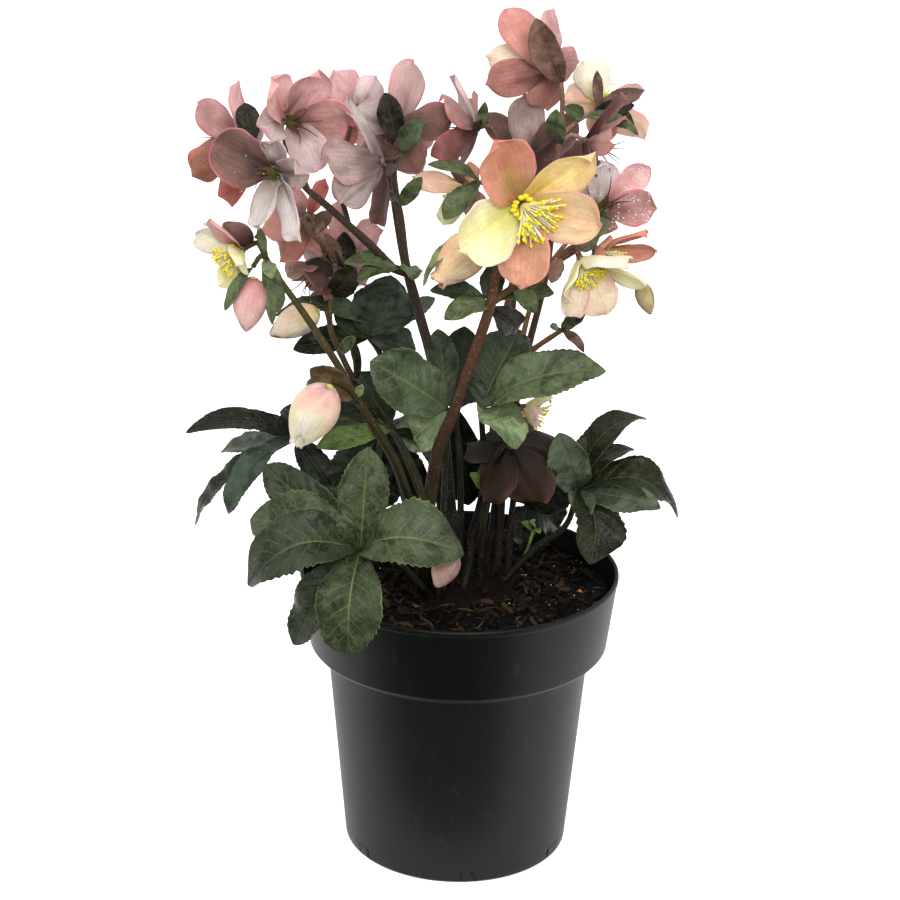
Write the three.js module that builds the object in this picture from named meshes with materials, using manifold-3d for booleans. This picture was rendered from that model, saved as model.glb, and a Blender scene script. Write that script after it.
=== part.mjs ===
// A potted hellebore: round nursery pot, bark mix, crown, branching flower stems, pedate leaves,
// open flowers and buds. Units are millimetres, +Z is up, and the origin is the centre of the
// pot's underside. Azimuth 0 looks at the front (-Y); +X is to the right.
import * as THREE from "three";
import { mergeVertices } from "three/addons/utils/BufferGeometryUtils.js";
import Module from "manifold-3d";

const wasm = await Module();
wasm.setup();

// ---------------------------------------------------------------- driving dimensions
const GAP = 0.5;               // clearance left between neighbouring solids
const MERGE_DISTANCE = 1e-3;   // corners closer than this are one corner
const SMOOTHING = 0.2;         // cut solids lose edges that matter less than this
const POT_SEGMENTS = 36;
const POT_HEIGHT = 170;
const RIM_RADIUS = 92;
const BAND_BOTTOM_RADIUS = 86.5;
const BAND_BOTTOM_Z = 127;
const BODY_TOP_RADIUS = 76;
const BODY_TOP_Z = 120;
const FOOT_RADIUS = 65.6;
const WALL = 1.9;
const FLOOR = 3;
const FOOT_EDGE = 1.5;
const LIP_HEIGHT = 3;
const FOOT_WALL = 4.6;         // the wall is thicker where the foot notches are
const FOOT_WALL_TOP = 12;
const DRAIN_COUNT = 6;
const DRAIN_RADIUS = 4.5;
const DRAIN_RING = 46;
const DRAIN_SIDES = 12;
const NOTCH_WIDTH = 22;
const NOTCH_HEIGHT = 8;
const NOTCH_DEPTH = 2.4;
const MIX_EDGE_RADIUS = 87;
const MIX_EDGE_Z = 157;        // surface of the mix at the wall and at the middle
const MIX_TOP_Z = 160;
const MIX_DOME_RADIUS = 39;    // the mix is flat inside this circle
const CROWN_RADIUS = 33;
const CROWN_HEIGHT = 8;
const CROWN_SHOULDER = 3.5;    // height of the crown's side before it rounds over
const BLADE_THICKNESS = 1.2;   // leaves and sepals
const BOSS_THICKNESS = 5;      // the green middle that carries sepals and stamens
const THROAT = 0.18;           // rings of a flower, as shares of each sepal's reach
const WAIST = 0.6;
const NOTCH_REACH = 0.52;      // how far out neighbouring sepals stay joined
const SHOULDER_OUT = 0.66;     // where a sepal is widest, as a share of its length
const SHOULDER_SIDE = 0.46;    // half its width there, as a share of its width
const SHOULDER_LIMIT = 0.4;    // most of the turn to the next sepal that a shoulder may take
const SHOULDER_CURL = 0.6;     // share of the curl that a sepal has by its shoulder and by its tip
const TIP_CURL = 0.8;
const PEDICEL_LEAD = 9;        // a pedicel runs straight into the flower for this length
const PEDICEL_END = 2.5;
const TUBE_SIDES = 5;
const RING_STEP = 18;          // length of one stretch of a stem's tube
const CURVE_TENSION = 0.5;
const SKELETON_POINTS = 60;    // points along a route that a bract may grow from
const BRACT_STOPS = [0, 0.45, 1];
const PETIOLE_BASE_RADIUS = 2.2;
const PETIOLE_END_RADIUS = 1.6;
const LEAFLET_STOPS = [0, 0.3, 0.7, 1];
const LEAFLET_SWELL = 0.85;    // outline of a leaflet: s^swell (1 - s)^taper, highest at LEAFLET_PEAK
const LEAFLET_TAPER = 0.68;
const LEAFLET_PEAK = 0.345;
const LEAST_HALF_WIDTH = 1;
const ARCH_REACH = 1.6;        // how far a leaflet's middle control point stands off, per unit of arch
const BUD_SIDES = 10;
const BUD_PROFILE = [[0, 0], [0.55, 0.08], [0.93, 0.3], [1, 0.5], [0.8, 0.75], [0.35, 0.95], [0, 1]];

// ---------------------------------------------------------------- layout, all in mm and degrees
// flower: centre, facing [azimuth, elevation], kind, sepals [clock angle, length, width, cup, curl].
// The clock angle is seen looking into the flower, 0 at the top; cup is how far a sepal leans forward.
const FLOWERS = {
  "flower_01": [[-120, -24, 424], [-135, 0], "rose",
    [[-175, 38, 17, 15, 10], [-98, 30, 22, 20, 10], [-14, 30, 14, 15, 10], [41, 29, 20, 20, 10],
      [125, 30, 21, 20, 10]]],
  "flower_02": [[-100, -70, 417], [-45, 5], "dusk",
    [[176, 29, 25, 20, 10], [-64, 34, 29, 38, -10], [22, 19, 17, 15, 10], [82, 27, 17, 5, 10],
      [132, 42, 21, 10, 10]]],
  "flower_03": [[-95, -34, 437], [35, 0], "rose",
    [[-88, 23, 20, 15, 10], [-36, 33, 22, 18, 8], [22, 30, 28, 22, 5], [98, 31, 27, 22, -5],
      [158, 29, 21, 20, 10]]],
  "flower_04": [[-59, 22, 431], [170, 5], "rose",
    [[-110, 24, 20, 20, 10], [-28, 20, 16, 20, 10], [37, 25, 20, 20, 10], [92, 25, 21, 20, 10],
      [143, 35, 20, 20, 10]]],
  "flower_05": [[-46, -44, 417], [-115, -20], "dusk",
    [[-90, 30, 18, 5, 10], [-26, 41, 22, 15, 10], [63, 31, 28, 30, 5], [118, 30, 22, 30, 10],
      [-165, 36, 18, 20, 10]]],
  "flower_06": [[-38, -2, 426], [-170, -5], "dusk",
    [[-151, 29, 21, 15, 10], [-84, 37, 21, 15, 10], [-20, 39, 21, 15, 10], [62, 24, 20, 20, 10],
      [145, 24, 18, 20, 10]]],
  "flower_07": [[6, 22, 422], [-100, -5], "dusk",
    [[-165, 26, 20, 20, 10], [-75, 38, 18, 0, 10], [-28, 32, 18, 15, 10], [42, 28, 20, 20, 10],
      [120, 30, 20, 30, 10]]],
  "flower_08": [[35, 12, 407], [175, 0], "dusk",
    [[-149, 30, 22, 15, 10], [-54, 33, 21, 15, 10], [5, 34, 21, 15, 10], [48, 33, 14, 15, 10],
      [152, 28, 22, 15, 10]]],
  "flower_09": [[45, 8, 456], [-155, 0], "rosedusk",
    [[-172, 23, 21, 15, 10], [-86, 22, 21, 15, 10], [-16, 33, 17, 20, 10], [29, 39, 23, 20, 10],
      [104, 33, 20, 20, 10], [78, 34, 18, 45, 0]]],
  "flower_10": [[25, -76, 402], [12, -5], "star",
    [[-176, 41, 27, 20, 5], [-115, 42, 32, 20, 5], [-27, 46, 31, 18, 5], [48, 44, 24, 15, 5],
      [102, 40, 30, 15, 5]]],
  "flower_11": [[36, 12, 263], [75, -25], "peach",
    [[-150, 15, 12, 30, 10], [-80, 16, 12, 30, 10], [0, 17, 12, 25, 10], [70, 17, 12, 25, 10],
      [140, 15, 12, 30, 10]]],
  "flower_12": [[0, 0, 394], [-140, -25], "peach",
    [[-137, 26, 18, 20, 10], [-71, 26, 18, 20, 10], [-8, 18, 15, 10, 10], [60, 27, 15, 25, 10],
      [145, 22, 13, 30, 10]]],
  "flower_13": [[58, -62, 369], [30, -40], "cream",
    [[-150, 29, 20, 45, 5], [-85, 29, 19, 40, 5], [8, 35, 19, 35, 5], [66, 35, 20, 45, 5],
      [151, 30, 23, 50, 5]]],
  "flower_14": [[69, -34, 367], [50, -25], "peach",
    [[-132, 21, 17, 20, 10], [-54, 24, 18, 20, 10], [24, 28, 17, 30, 10], [72, 31, 19, 35, 10],
      [150, 20, 17, 20, 10]]],
  "flower_15": [[73, -12, 384], [20, 35], "wet",
    [[-154, 20, 17, 20, 10], [-68, 33, 18, 35, 10], [-4, 26, 21, 35, 10], [57, 33, 15, 30, 10],
      [107, 28, 20, 25, 10]]],
  "flower_16": [[65, 0, 419], [70, -20], "dusk",
    [[-125, 22, 16, 25, 10], [-60, 24, 16, 30, 10], [-12, 34, 15, 10, 10], [38, 24, 17, 25, 10],
      [165, 20, 12, 25, 10]]],
  "flower_17": [[77, 36, 434], [165, 10], "peach",
    [[-139, 34, 20, 15, 10], [-78, 22, 12, 15, 10], [32, 23, 20, 15, 10], [98, 25, 17, 15, 10],
      [174, 29, 18, 15, 10]]],
  "flower_18": [[-121, -34, 367], [-60, -20], "cream",
    [[-150, 22, 18, 30, 10], [-60, 25, 17, 25, 10], [12, 28, 18, 20, 10], [85, 22, 18, 20, 10],
      [165, 20, 17, 20, 10]]],
  "flower_19": [[-86, 8, 375], [170, -5], "rose",
    [[-158, 26, 17, 20, 10], [-20, 22, 9, 20, 10], [59, 24, 18, 20, 10], [109, 32, 18, 20, 10],
      [146, 34, 18, 20, 10]]],
  "flower_20": [[-67, 34, 347], [-165, 0], "rose",
    [[-143, 28, 22, 20, 10], [-68, 28, 23, 15, 10], [1, 29, 14, 15, 10], [78, 22, 21, 20, 10],
      [164, 25, 20, 20, 10]]],
  "flower_21": [[-80, 6, 349], [-55, -45], "dusk",
    [[-144, 21, 18, 25, 10], [-66, 18, 17, 35, 10], [12, 18, 17, 35, 10], [89, 20, 18, 35, 10],
      [145, 19, 18, 30, 10]]],
  "flower_22": [[26, -36, 257], [170, -45], "maroon",
    [[-140, 36, 27, 35, 10], [-76, 38, 25, 35, 10], [-8, 34, 24, 35, 10], [66, 37, 27, 35, 10],
      [148, 34, 26, 35, 10]]],
  "flower_23": [[-42, 64, 402], [160, 10], "rose",
    [[-140, 26, 20, 20, 10], [-72, 27, 20, 15, 10], [0, 28, 20, 18, 10], [72, 29, 20, 20, 10],
      [145, 27, 20, 18, 10]]],
  "flower_24": [[62, 70, 380], [140, 5], "peach",
    [[-150, 29, 20, 20, 10], [-70, 25, 18, 18, 10], [5, 25, 20, 20, 10], [75, 32, 22, 20, 10],
      [140, 31, 21, 18, 10]]]
};

// bud: base, tip, width, kind
const BUDS = {
  "bud_01": [[-115, -30, 371], [-130, -32, 381], 11, "dark"],
  "bud_02": [[-114, -45, 355], [-118, -47, 327], 18, "pink"],
  "bud_03": [[-80, -10, 327], [-106, -12, 314], 17, "husk"],
  "bud_04": [[-73, -71, 303], [-91, -74, 272], 25, "creamrose"],
  "bud_05": [[-7, -84, 214], [-16, -86, 195], 14, "husk"],
  "bud_06": [[8, -52, 379], [-17, -60, 357], 23, "peach"],
  "bud_07": [[91, -50, 354], [97, -50, 337], 9, "cream"]
};

// leaf: petiole points, hub, leaflets [tip, width, arch, facing of the upper side]
const LEAVES = {
  "leaf_front_left": [[[-16, -22, 160], [-34, -42, 188], [-50, -62, 207]], [-57, -72, 210],
    [[[-53, -66, 267], 27, 4, [-5, 10]], [[-2, -92, 216], 37, 22, [15, 45]],
      [[-63, -100, 160], 37, 20, [-12, 35]], [[-118, -82, 194], 37, 31, [-20, 50]],
      [[-117, -62, 224], 36, 18, [-15, 40]], [[-110, -45, 249], 26, 8, [-10, 30]],
      [[-77, -55, 241], 18, 3, [-10, 15]], [[-94, -74, 155], 28, 7, [-35, 20]]]],
  "leaf_left": [[[-22, -4, 160], [-52, -5, 195], [-84, -7, 226]], [-93, -5, 250],
    [[[-155, -10, 256], 20, 15, [-10, 65]], [[-138, 25, 232], 14, 4, [-10, 60]],
      [[-131, -28, 214], 19, 18, [-25, 55]], [[-154, 22, 187], 14, 17, [-30, 50]],
      [[-97, 20, 263], 14, 2, [0, 40]], [[-74, -22, 228], 17, 4, [0, 25]]]],
  "leaf_right": [[[22, -6, 160], [43, -4, 183], [60, -8, 199]], [66, -10, 221],
    [[[52, -34, 264], 24, 4, [-10, 30]], [[106, 12, 257], 21, 26, [-25, 60]],
      [[99, 4, 241], 14, 15, [-10, 60]], [[123, -15, 207], 27, 27, [10, 65]],
      [[109, -40, 222], 20, 4, [10, 45]], [[68, -36, 213], 15, 6, [0, 40]],
      [[71, -44, 190], 32, 15, [30, 25]]]],
  "leaf_mid_left": [[[-9, -18, 160], [-10, -16, 210], [-9, -18, 255]], [-9, -22, 274],
    [[[-32, -25, 252], 26, 3, [-22, 34]], [[-52, -34, 305], 34, 6, [-10, 35]],
      [[-13, 22, 307], 17, 4, [0, 40]]]],
  "leaf_mid_right": [[[11, -3, 160], [14, -6, 215], [11, -17, 258]], [9, -26, 275],
    [[[32, 0, 313], 36, 4, [-30, 15]], [[76, -38, 301], 27, 19, [5, 50]],
      [[27, -58, 263], 25, 9, [30, 50]]]],
  "leaf_upper": [[[-4, 18, 160], [-18, 25, 233], [-44, 28, 287]], [-52, 25, 301],
    [[[-40, 12, 341], 36, 3, [10, 10]], [[-25, 38, 290], 19, 2, [0, 30]],
      [[-72, 20, 323], 17, 2, [0, 30]], [[-105, 0, 321], 14, 20, [-10, 60]],
      [[-14, 48, 318], 13, 2, [0, 40]], [[-95, 12, 298], 17, 6, [0, 40]]]],
  "leaf_bright": [[[-12, -24, 160], [-22, -30, 225], [-33, -34, 255]], [-40, -36, 266],
    [[[-81, -52, 262], 14, 5, [0, 45]], [[-87, 10, 280], 22, 14, [0, 30]],
      [[-9, 0, 233], 16, 4, [0, 45]]]],
  "leaf_low_right": [[[18, 10, 160], [29, 15, 178], [36, 18, 192]], [40, 20, 201],
    [[[67, 20, 212], 24, 4, [0, 30]], [[34, 0, 184], 18, 4, [0, 30]], [[23, 34, 231], 22, 3, [0, 20]],
      [[61, 40, 177], 22, 5, [10, 30]]]],
  "leaf_back_left": [[[-14, 22, 160], [-28, 44, 186], [-38, 60, 216]], [-42, 68, 230],
    [[[-92, 84, 222], 30, 14, [150, 55]], [[-74, 112, 206], 30, 14, [170, 50]],
      [[-30, 118, 206], 32, 12, [180, 50]], [[-74, 60, 194], 27, 6, [-10, 20]],
      [[-43, 58, 184], 26, 6, [0, 20]], [[-20, 60, 186], 24, 6, [0, 20]],
      [[-58, 66, 268], 26, 6, [160, 30]]]],
  "leaf_back_right": [[[12, 24, 160], [34, 46, 178], [50, 64, 186]], [54, 72, 188],
    [[[8, 96, 190], 26, 10, [180, 50]], [[40, 122, 172], 32, 12, [180, 50]],
      [[86, 112, 170], 30, 12, [150, 50]], [[104, 74, 180], 26, 10, [120, 50]]]],
  "leaf_back_mid": [[[2, 28, 160], [2, 38, 205], [0, 46, 238]], [0, 50, 250],
    [[[-44, 62, 258], 28, 8, [180, 40]], [[-26, 96, 240], 28, 9, [180, 50]],
      [[22, 98, 238], 28, 9, [180, 50]], [[46, 60, 256], 28, 8, [180, 40]],
      [[8, 58, 186], 25, 5, [0, 20]], [[4, 58, 298], 26, 3, [180, 20]]]]
};

// stem: routes [radius at the start, radius at the end, points, the flower it ends in]
const STEMS = {
  "stem_a": [[4.3, 2.2,
      [[-14, -14, 160], [-19, -19, 182], [-20, -24, 202], [-18, -28, 225], [-14, -34, 254],
        [-6, -40, 279], [1, -45, 304], [7, -49, 324], [12, -52, 343], [14, -56, 359], [18, -58, 378]],
      "flower_10"],
    [2.3, 1.5, [[12, -52, 343], [24, -53, 352], [37, -54, 362], [47, -56, 369]], "flower_13"],
    [1.5, 1.2, [[37, -54, 362], [46, -48, 364], [56, -38, 367]], "flower_14"],
    [1.5, 1.4, [[15, -57, 365], [15, -58, 380], [10, -54, 383]], ""]],
  "stem_b": [[3.9, 1.5,
      [[-4, 6, 160], [-3, 2, 180], [-7, 2, 223], [-12, 4, 270], [-18, 6, 299], [-26, 4, 329],
        [-32, 2, 351], [-35, -2, 376], [-38, -5, 393], [-39, -8, 405], [-38, -12, 417]], "flower_06"],
    [2.6, 1.5,
      [[-31, 2, 345], [-41, -2, 350], [-48, -8, 360], [-63, -28, 379], [-75, -44, 394], [-84, -54, 404]],
      "flower_02"], [1.5, 1.2, [[-84, -54, 404], [-95, -46, 414], [-106, -38, 421]], "flower_01"],
    [1.5, 1.2, [[-84, -54, 404], [-90, -42, 414], [-98, -28, 427]], "flower_03"],
    [1.5, 1.2, [[-39, -8, 405], [-39, -24, 413], [-36, -40, 420]], "flower_05"],
    [1.5, 1.2, [[-63, -28, 379], [-68, -14, 398], [-64, 2, 420]], "flower_04"]],
  "stem_c": [[3.3, 1.4,
      [[-22, -18, 160], [-22, -30, 186], [-26, -37, 212], [-32, -42, 233], [-38, -46, 251],
        [-46, -49, 267], [-54, -51, 281], [-62, -52, 295], [-69, -51, 308], [-80, -48, 325],
        [-90, -44, 339], [-99, -40, 351], [-107, -37, 363], [-111, -33, 370]], "flower_18"],
    [1.5, 1.4, [[-59, -53, 288], [-63, -58, 297], [-71, -66, 304]], ""],
    [1.5, 1.3, [[-107, -37, 363], [-110, -41, 366], [-114, -45, 361]], ""],
    [1.2, 1.1, [[-107, -37, 363], [-109, -33, 371], [-113, -30, 374]], ""]],
  "stem_d": [[2.8, 1.3,
      [[-14, 8, 160], [-14, 6, 176], [-21, 5, 210], [-35, 2, 247], [-47, 0, 266], [-60, 0, 283],
        [-69, -2, 302], [-74, -3, 317], [-73, 2, 335], [-71, 8, 350]], "flower_21"],
    [1.3, 1.2, [[-74, -3, 317], [-76, -7, 326]], ""],
    [1.4, 1.2, [[-73, 2, 335], [-66, 12, 341]], "flower_20"],
    [1.4, 1.2, [[-71, 8, 350], [-76, -2, 360], [-84, -8, 370]], "flower_19"]],
  "stem_e": [[2.1, 1.2,
      [[22, 4, 160], [24, 8, 190], [25, 8, 221], [27, 4, 265], [31, 0, 295], [36, -6, 325],
        [41, -10, 341], [47, -12, 355], [60, -8, 370]], "flower_15"],
    [1.8, 1.4, [[31, 0, 295], [42, -12, 308], [53, -24, 320]], ""]],
  "stem_f": [[2.7, 1.2,
      [[16, 18, 160], [21, 20, 190], [23, 20, 223], [25, 18, 266], [27, 16, 302], [29, 14, 332],
        [27, 14, 361], [24, 16, 389], [21, 19, 408]], "flower_07"],
    [1.4, 1.2, [[25, 15, 385], [30, 6, 396]], "flower_08"],
    [1.4, 1.2, [[27, 14, 368], [18, 2, 386], [11, -8, 397]], "flower_12"]],
  "stem_g": [[2.8, 1.3,
      [[8, 30, 160], [16, 33, 190], [19, 32, 218], [21, 30, 262], [24, 28, 305], [32, 26, 346],
        [45, 22, 382], [50, 16, 405], [52, 8, 428], [51, 0, 446]], "flower_09"],
    [1.4, 1.2, [[50, 16, 405], [51, 4, 416]], "flower_16"],
    [1.4, 1.2, [[51, 12, 418], [60, 16, 426], [70, 20, 431]], "flower_17"]],
  "stem_h": [[2.5, 1.3,
      [[0, -22, 160], [5, -16, 179], [6, -14, 196], [9, -16, 209], [12, -22, 227], [16, -32, 245],
        [20, -42, 258]], "flower_22"]],
  "stem_j": [
    [2.5, 1.2, [[28, -2, 160], [29, 2, 190], [31, 4, 217], [30, 8, 240], [28, 10, 256]], "flower_11"]],
  "stem_k": [[3.0, 1.5,
      [[-8, 26, 160], [-10, 40, 220], [-12, 46, 257], [-18, 50, 287], [-27, 51, 318], [-33, 51, 343],
        [-37, 50, 366], [-40, 50, 385]], "flower_23"]],
  "stem_m": [
    [2.8, 1.5, [[18, 28, 160], [26, 44, 210], [40, 56, 280], [50, 58, 325], [54, 58, 362]], "flower_24"]]
};

// bracts that grow on a stem: base, tip, width, arch, facing of the upper side, kind
const BRACTS = {
  "stem_a": [[[10, -48, 340], [-20, -44, 348], 13, 8, [-10, 50], "leaf"],
    [[10, -48, 342], [-13, -62, 337], 14, 9, [-20, 40], "green"],
    [[15, -50, 342], [46, -46, 347], 12, 5, [10, 50], "green"],
    [[24, -53, 352], [35, -64, 341], 10, 3, [10, 30], "green"],
    [[13, -48, 340], [28, -36, 323], 16, 3, [10, 20], "dark"],
    [[11, -50, 344], [16, -44, 364], 15, 2, [-30, 10], "leaf"],
    [[47, -56, 369], [42, -70, 359], 8, 1, [0, 10], "brown"],
    [[60, -38, 370], [74, -50, 386], 17, 3, [-10, 40], "pale"],
    [[10, -54, 382], [-24, -54, 353], 9, 12, [-30, 50], "pale"]],
  "stem_b": [[[-113, -31, 424], [-118, -22, 444], 13, 2, [0, 10], "dark"],
    [[-38, -12, 420], [-44, -14, 448], 14, 2, [0, 10], "dark"],
    [[-38, -12, 414], [-24, -12, 434], 12, 3, [10, 30], "leaf"],
    [[-38, -5, 383], [-43, -13, 396], 8, 2, [-30, 20], "green"],
    [[-38, -5, 383], [-24, -12, 402], 9, 3, [20, 30], "green"],
    [[-36, 0, 347], [-66, -14, 355], 13, 8, [-10, 50], "green"],
    [[-37, 0, 346], [-59, -20, 346], 13, 8, [-10, 50], "green"],
    [[-33, 0, 349], [-29, -16, 346], 12, 3, [20, 30], "green"]],
  "stem_c": [[[-114, -45, 362], [-129, -52, 339], 13, 4, [-30, 20], "brown"],
    [[-107, -38, 362], [-101, -46, 336], 12, 3, [10, 20], "green"],
    [[-108, -40, 362], [-104, -48, 330], 7, 4, [10, 20], "green"],
    [[-108, -38, 363], [-104, -47, 355], 8, 3, [0, 30], "pale"],
    [[-107, -36, 365], [-111, -38, 381], 5, 1, [0, 10], "pale"],
    [[-61, -53, 290], [-84, -60, 309], 16, 3, [-20, 30], "tan"],
    [[-59, -53, 290], [-56, -56, 299], 5, 1, [0, 20], "pale"]],
  "stem_d": [[[-68, -2, 301], [-60, -9, 312], 7, 3, [0, 30], "green"],
    [[-60, 0, 283], [-62, -8, 311], 6, 3, [30, 10], "dark"],
    [[-66, 14, 345], [-80, 10, 367], 10, 2, [0, 20], "brown"],
    [[-66, 14, 345], [-66, 12, 366], 12, 2, [0, 10], "brown"],
    [[-84, -8, 371], [-73, -6, 382], 9, 2, [0, 20], "brown"],
    [[-73, 2, 333], [-60, -8, 351], 16, 3, [20, 20], "dark"],
    [[-72, 5, 342], [-87, -4, 353], 10, 2, [-10, 30], "dark"]],
  "stem_e": [[[53, -24, 320], [64, -46, 340], 8, 2, [0, 20], "green"],
    [[53, -24, 320], [57, -44, 333], 6, 1, [0, 20], "green"],
    [[53, -24, 320], [45, -38, 326], 6, 1, [-10, 30], "green"],
    [[53, -24, 320], [64, -36, 311], 6, 3, [10, 40], "brown"],
    [[66, -7, 376], [76, -22, 387], 9, 2, [10, 10], "green"]],
  "stem_f": [[[9, 19, 420], [5, 12, 427], 6, 1, [0, 20], "dark"],
    [[10, 18, 421], [11, 18, 437], 6, 1, [0, 10], "green"],
    [[31, 3, 400], [26, -4, 421], 13, 2, [-10, 20], "pale"],
    [[9, -7, 397], [-21, -12, 409], 8, 6, [-10, 50], "green"],
    [[8, -8, 396], [-12, -17, 380], 13, 4, [-20, 30], "green"]],
  "stem_g": [[[50, -3, 450], [35, -14, 487], 17, 4, [-20, 10], "brown"],
    [[52, 4, 416], [47, -14, 439], 12, 2, [-20, 20], "green"],
    [[72, 23, 432], [97, 18, 443], 10, 5, [10, 30], "brown"],
    [[72, 24, 433], [72, 24, 453], 6, 1, [0, 10], "brown"],
    [[70, 20, 430], [92, 14, 436], 9, 3, [10, 20], "dark"],
    [[70, 20, 430], [92, 12, 426], 11, 4, [10, 30], "dark"],
    [[66, 18, 428], [94, 8, 421], 9, 8, [10, 40], "green"],
    [[64, 18, 428], [54, 14, 435], 9, 2, [-20, 20], "green"]],
  "stem_h": [[[11, -20, 229], [4, -30, 239], 7, 2, [-10, 40], "bright"],
    [[12, -22, 230], [19, -34, 238], 7, 2, [0, 40], "bright"],
    [[12, -20, 228], [16, -34, 227], 8, 2, [0, 60], "bright"]]
};

// ---------------------------------------------------------------- small helpers
const vec = (p) => new THREE.Vector3(...p);
const rad = THREE.MathUtils.degToRad;

function direction([azimuth, elevation]) {
  const a = rad(azimuth);
  const e = rad(elevation);
  return new THREE.Vector3(Math.sin(a) * Math.cos(e), -Math.cos(a) * Math.cos(e), Math.sin(e));
}

// A closed mesh as a solid: merged corners, and no triangle with a repeated corner.
function solid(geometry) {
  const bare = new THREE.BufferGeometry();
  bare.setAttribute("position", geometry.getAttribute("position"));
  if (geometry.index) bare.setIndex(geometry.index);
  const merged = mergeVertices(bare, MERGE_DISTANCE);
  const triangles = [];
  const index = merged.index.array;
  for (let i = 0; i < index.length; i += 3) {
    const [a, b, c] = [index[i], index[i + 1], index[i + 2]];
    if (a !== b && b !== c && c !== a) triangles.push(a, b, c);
  }
  const vertices = new Float32Array(merged.getAttribute("position").array);
  return new wasm.Manifold(new wasm.Mesh({
    numProp: 3, vertProperties: vertices, triVerts: new Uint32Array(triangles),
  }));
}

function geometryOf(body) {
  const { vertProperties, triVerts } = body.getMesh();
  const geometry = new THREE.BufferGeometry();
  geometry.setAttribute("position", new THREE.BufferAttribute(vertProperties, 3));
  geometry.setIndex(new THREE.BufferAttribute(triVerts, 1));
  geometry.computeVertexNormals();
  return geometry;
}

// What is left of a cut solid: its largest piece, with corners that nearly touch made one.
function largestPiece(body) {
  const pieces = solid(geometryOf(body)).decompose();
  return pieces.reduce((best, piece) => (piece.volume() > best.volume() ? piece : best));
}

// A solid from corners and triangles, turned so that its faces point out.
function closedBody(positions, index) {
  const geometry = new THREE.BufferGeometry();
  geometry.setAttribute("position", new THREE.Float32BufferAttribute(positions, 3));
  geometry.setIndex(index);
  const body = solid(geometry);
  if (body.volume() > 0) return body;
  geometry.setIndex([...index].reverse());
  return solid(geometry);
}

// A closed mesh from rings of points: each ring is joined to the next, the two ends are capped.
function skin(rings) {
  const count = rings[0].length;
  const positions = [];
  const index = [];
  const corner = (ring, side) => ring * count + (side % count);
  for (const ring of rings) {
    for (const point of ring) positions.push(point.x, point.y, point.z);
  }
  for (let ring = 0; ring < rings.length - 1; ring++) {
    for (let side = 0; side < count; side++) {
      index.push(corner(ring, side), corner(ring, side + 1), corner(ring + 1, side + 1));
      index.push(corner(ring, side), corner(ring + 1, side + 1), corner(ring + 1, side));
    }
  }
  const last = rings.length - 1;
  for (let side = 1; side < count - 1; side++) {
    index.push(corner(0, 0), corner(0, side + 1), corner(0, side));
    index.push(corner(last, 0), corner(last, side), corner(last, side + 1));
  }
  return closedBody(positions, index);
}

const stemCurve = (points) => new THREE.CatmullRomCurve3(points, false, "catmullrom", CURVE_TENSION);

// A tapered round stem through its points.
function tube(points, firstRadius, lastRadius) {
  const curve = stemCurve(points);
  const steps = Math.max(3, Math.round(curve.getLength() / RING_STEP));
  const side = new THREE.Vector3(1, 0, 0);
  const rings = [];
  for (let step = 0; step <= steps; step++) {
    const at = step / steps;
    const tangent = curve.getTangentAt(at);
    side.addScaledVector(tangent, -side.dot(tangent)).normalize();
    const other = tangent.clone().cross(side);
    const radius = THREE.MathUtils.lerp(firstRadius, lastRadius, at);
    const centre = curve.getPointAt(at);
    rings.push(Array.from({ length: TUBE_SIDES }, (_, corner) => {
      const angle = (corner * 2 * Math.PI) / TUBE_SIDES;
      return centre.clone()
        .addScaledVector(side, radius * Math.cos(angle))
        .addScaledVector(other, radius * Math.sin(angle));
    }));
  }
  return skin(rings);
}

// A blade is a thin closed slab along a centreline. Each station gives its centre, the direction
// across, the surface normal and half the width.
function blade(stations, thickness, grow) {
  const half = thickness / 2 + grow;
  return skin(stations.map(({ centre, across, normal, halfWidth }) => {
    const place = (side, rise) => centre.clone()
      .addScaledVector(across, side * (halfWidth + grow))
      .addScaledVector(normal, rise);
    return [place(-1, -half), place(1, -half), place(1, half), place(-1, half)];
  }));
}

// ---------------------------------------------------------------- leaflets
function leafletWidth(s) {
  return Math.pow(s, LEAFLET_SWELL) * Math.pow(1 - s, LEAFLET_TAPER) / LEAFLET_PEAK;
}

function leaflet(base, [tip, width, arch, facing], grow, stops = LEAFLET_STOPS) {
  const end = vec(tip);
  const chord = end.clone().sub(base).normalize();
  const face = direction(facing);
  face.addScaledVector(chord, -face.dot(chord)).normalize();
  const middle = base.clone().add(end).multiplyScalar(0.5).addScaledVector(face, arch * ARCH_REACH);
  const curve = new THREE.QuadraticBezierCurve3(base, middle, end);
  const stations = stops.map((s) => {
    const tangent = curve.getTangent(s);
    const across = tangent.clone().cross(face).normalize();
    const halfWidth = Math.max(LEAST_HALF_WIDTH, (width / 2) * leafletWidth(s));
    const centre = curve.getPoint(s).addScaledVector(tangent, s === 1 ? grow : 0);
    return { centre, across, normal: across.clone().cross(tangent), halfWidth };
  });
  return blade(stations, BLADE_THICKNESS, grow);
}

// ---------------------------------------------------------------- the pieces
// A round solid about Z from its outline of [radius, height] points.
function lathe(profile) {
  const outline = profile.map(([r, z]) => new THREE.Vector2(r, z));
  const geometry = new THREE.LatheGeometry(outline, POT_SEGMENTS);
  geometry.rotateX(Math.PI / 2);
  return closedBody(Array.from(geometry.getAttribute("position").array), Array.from(geometry.index.array));
}

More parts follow.
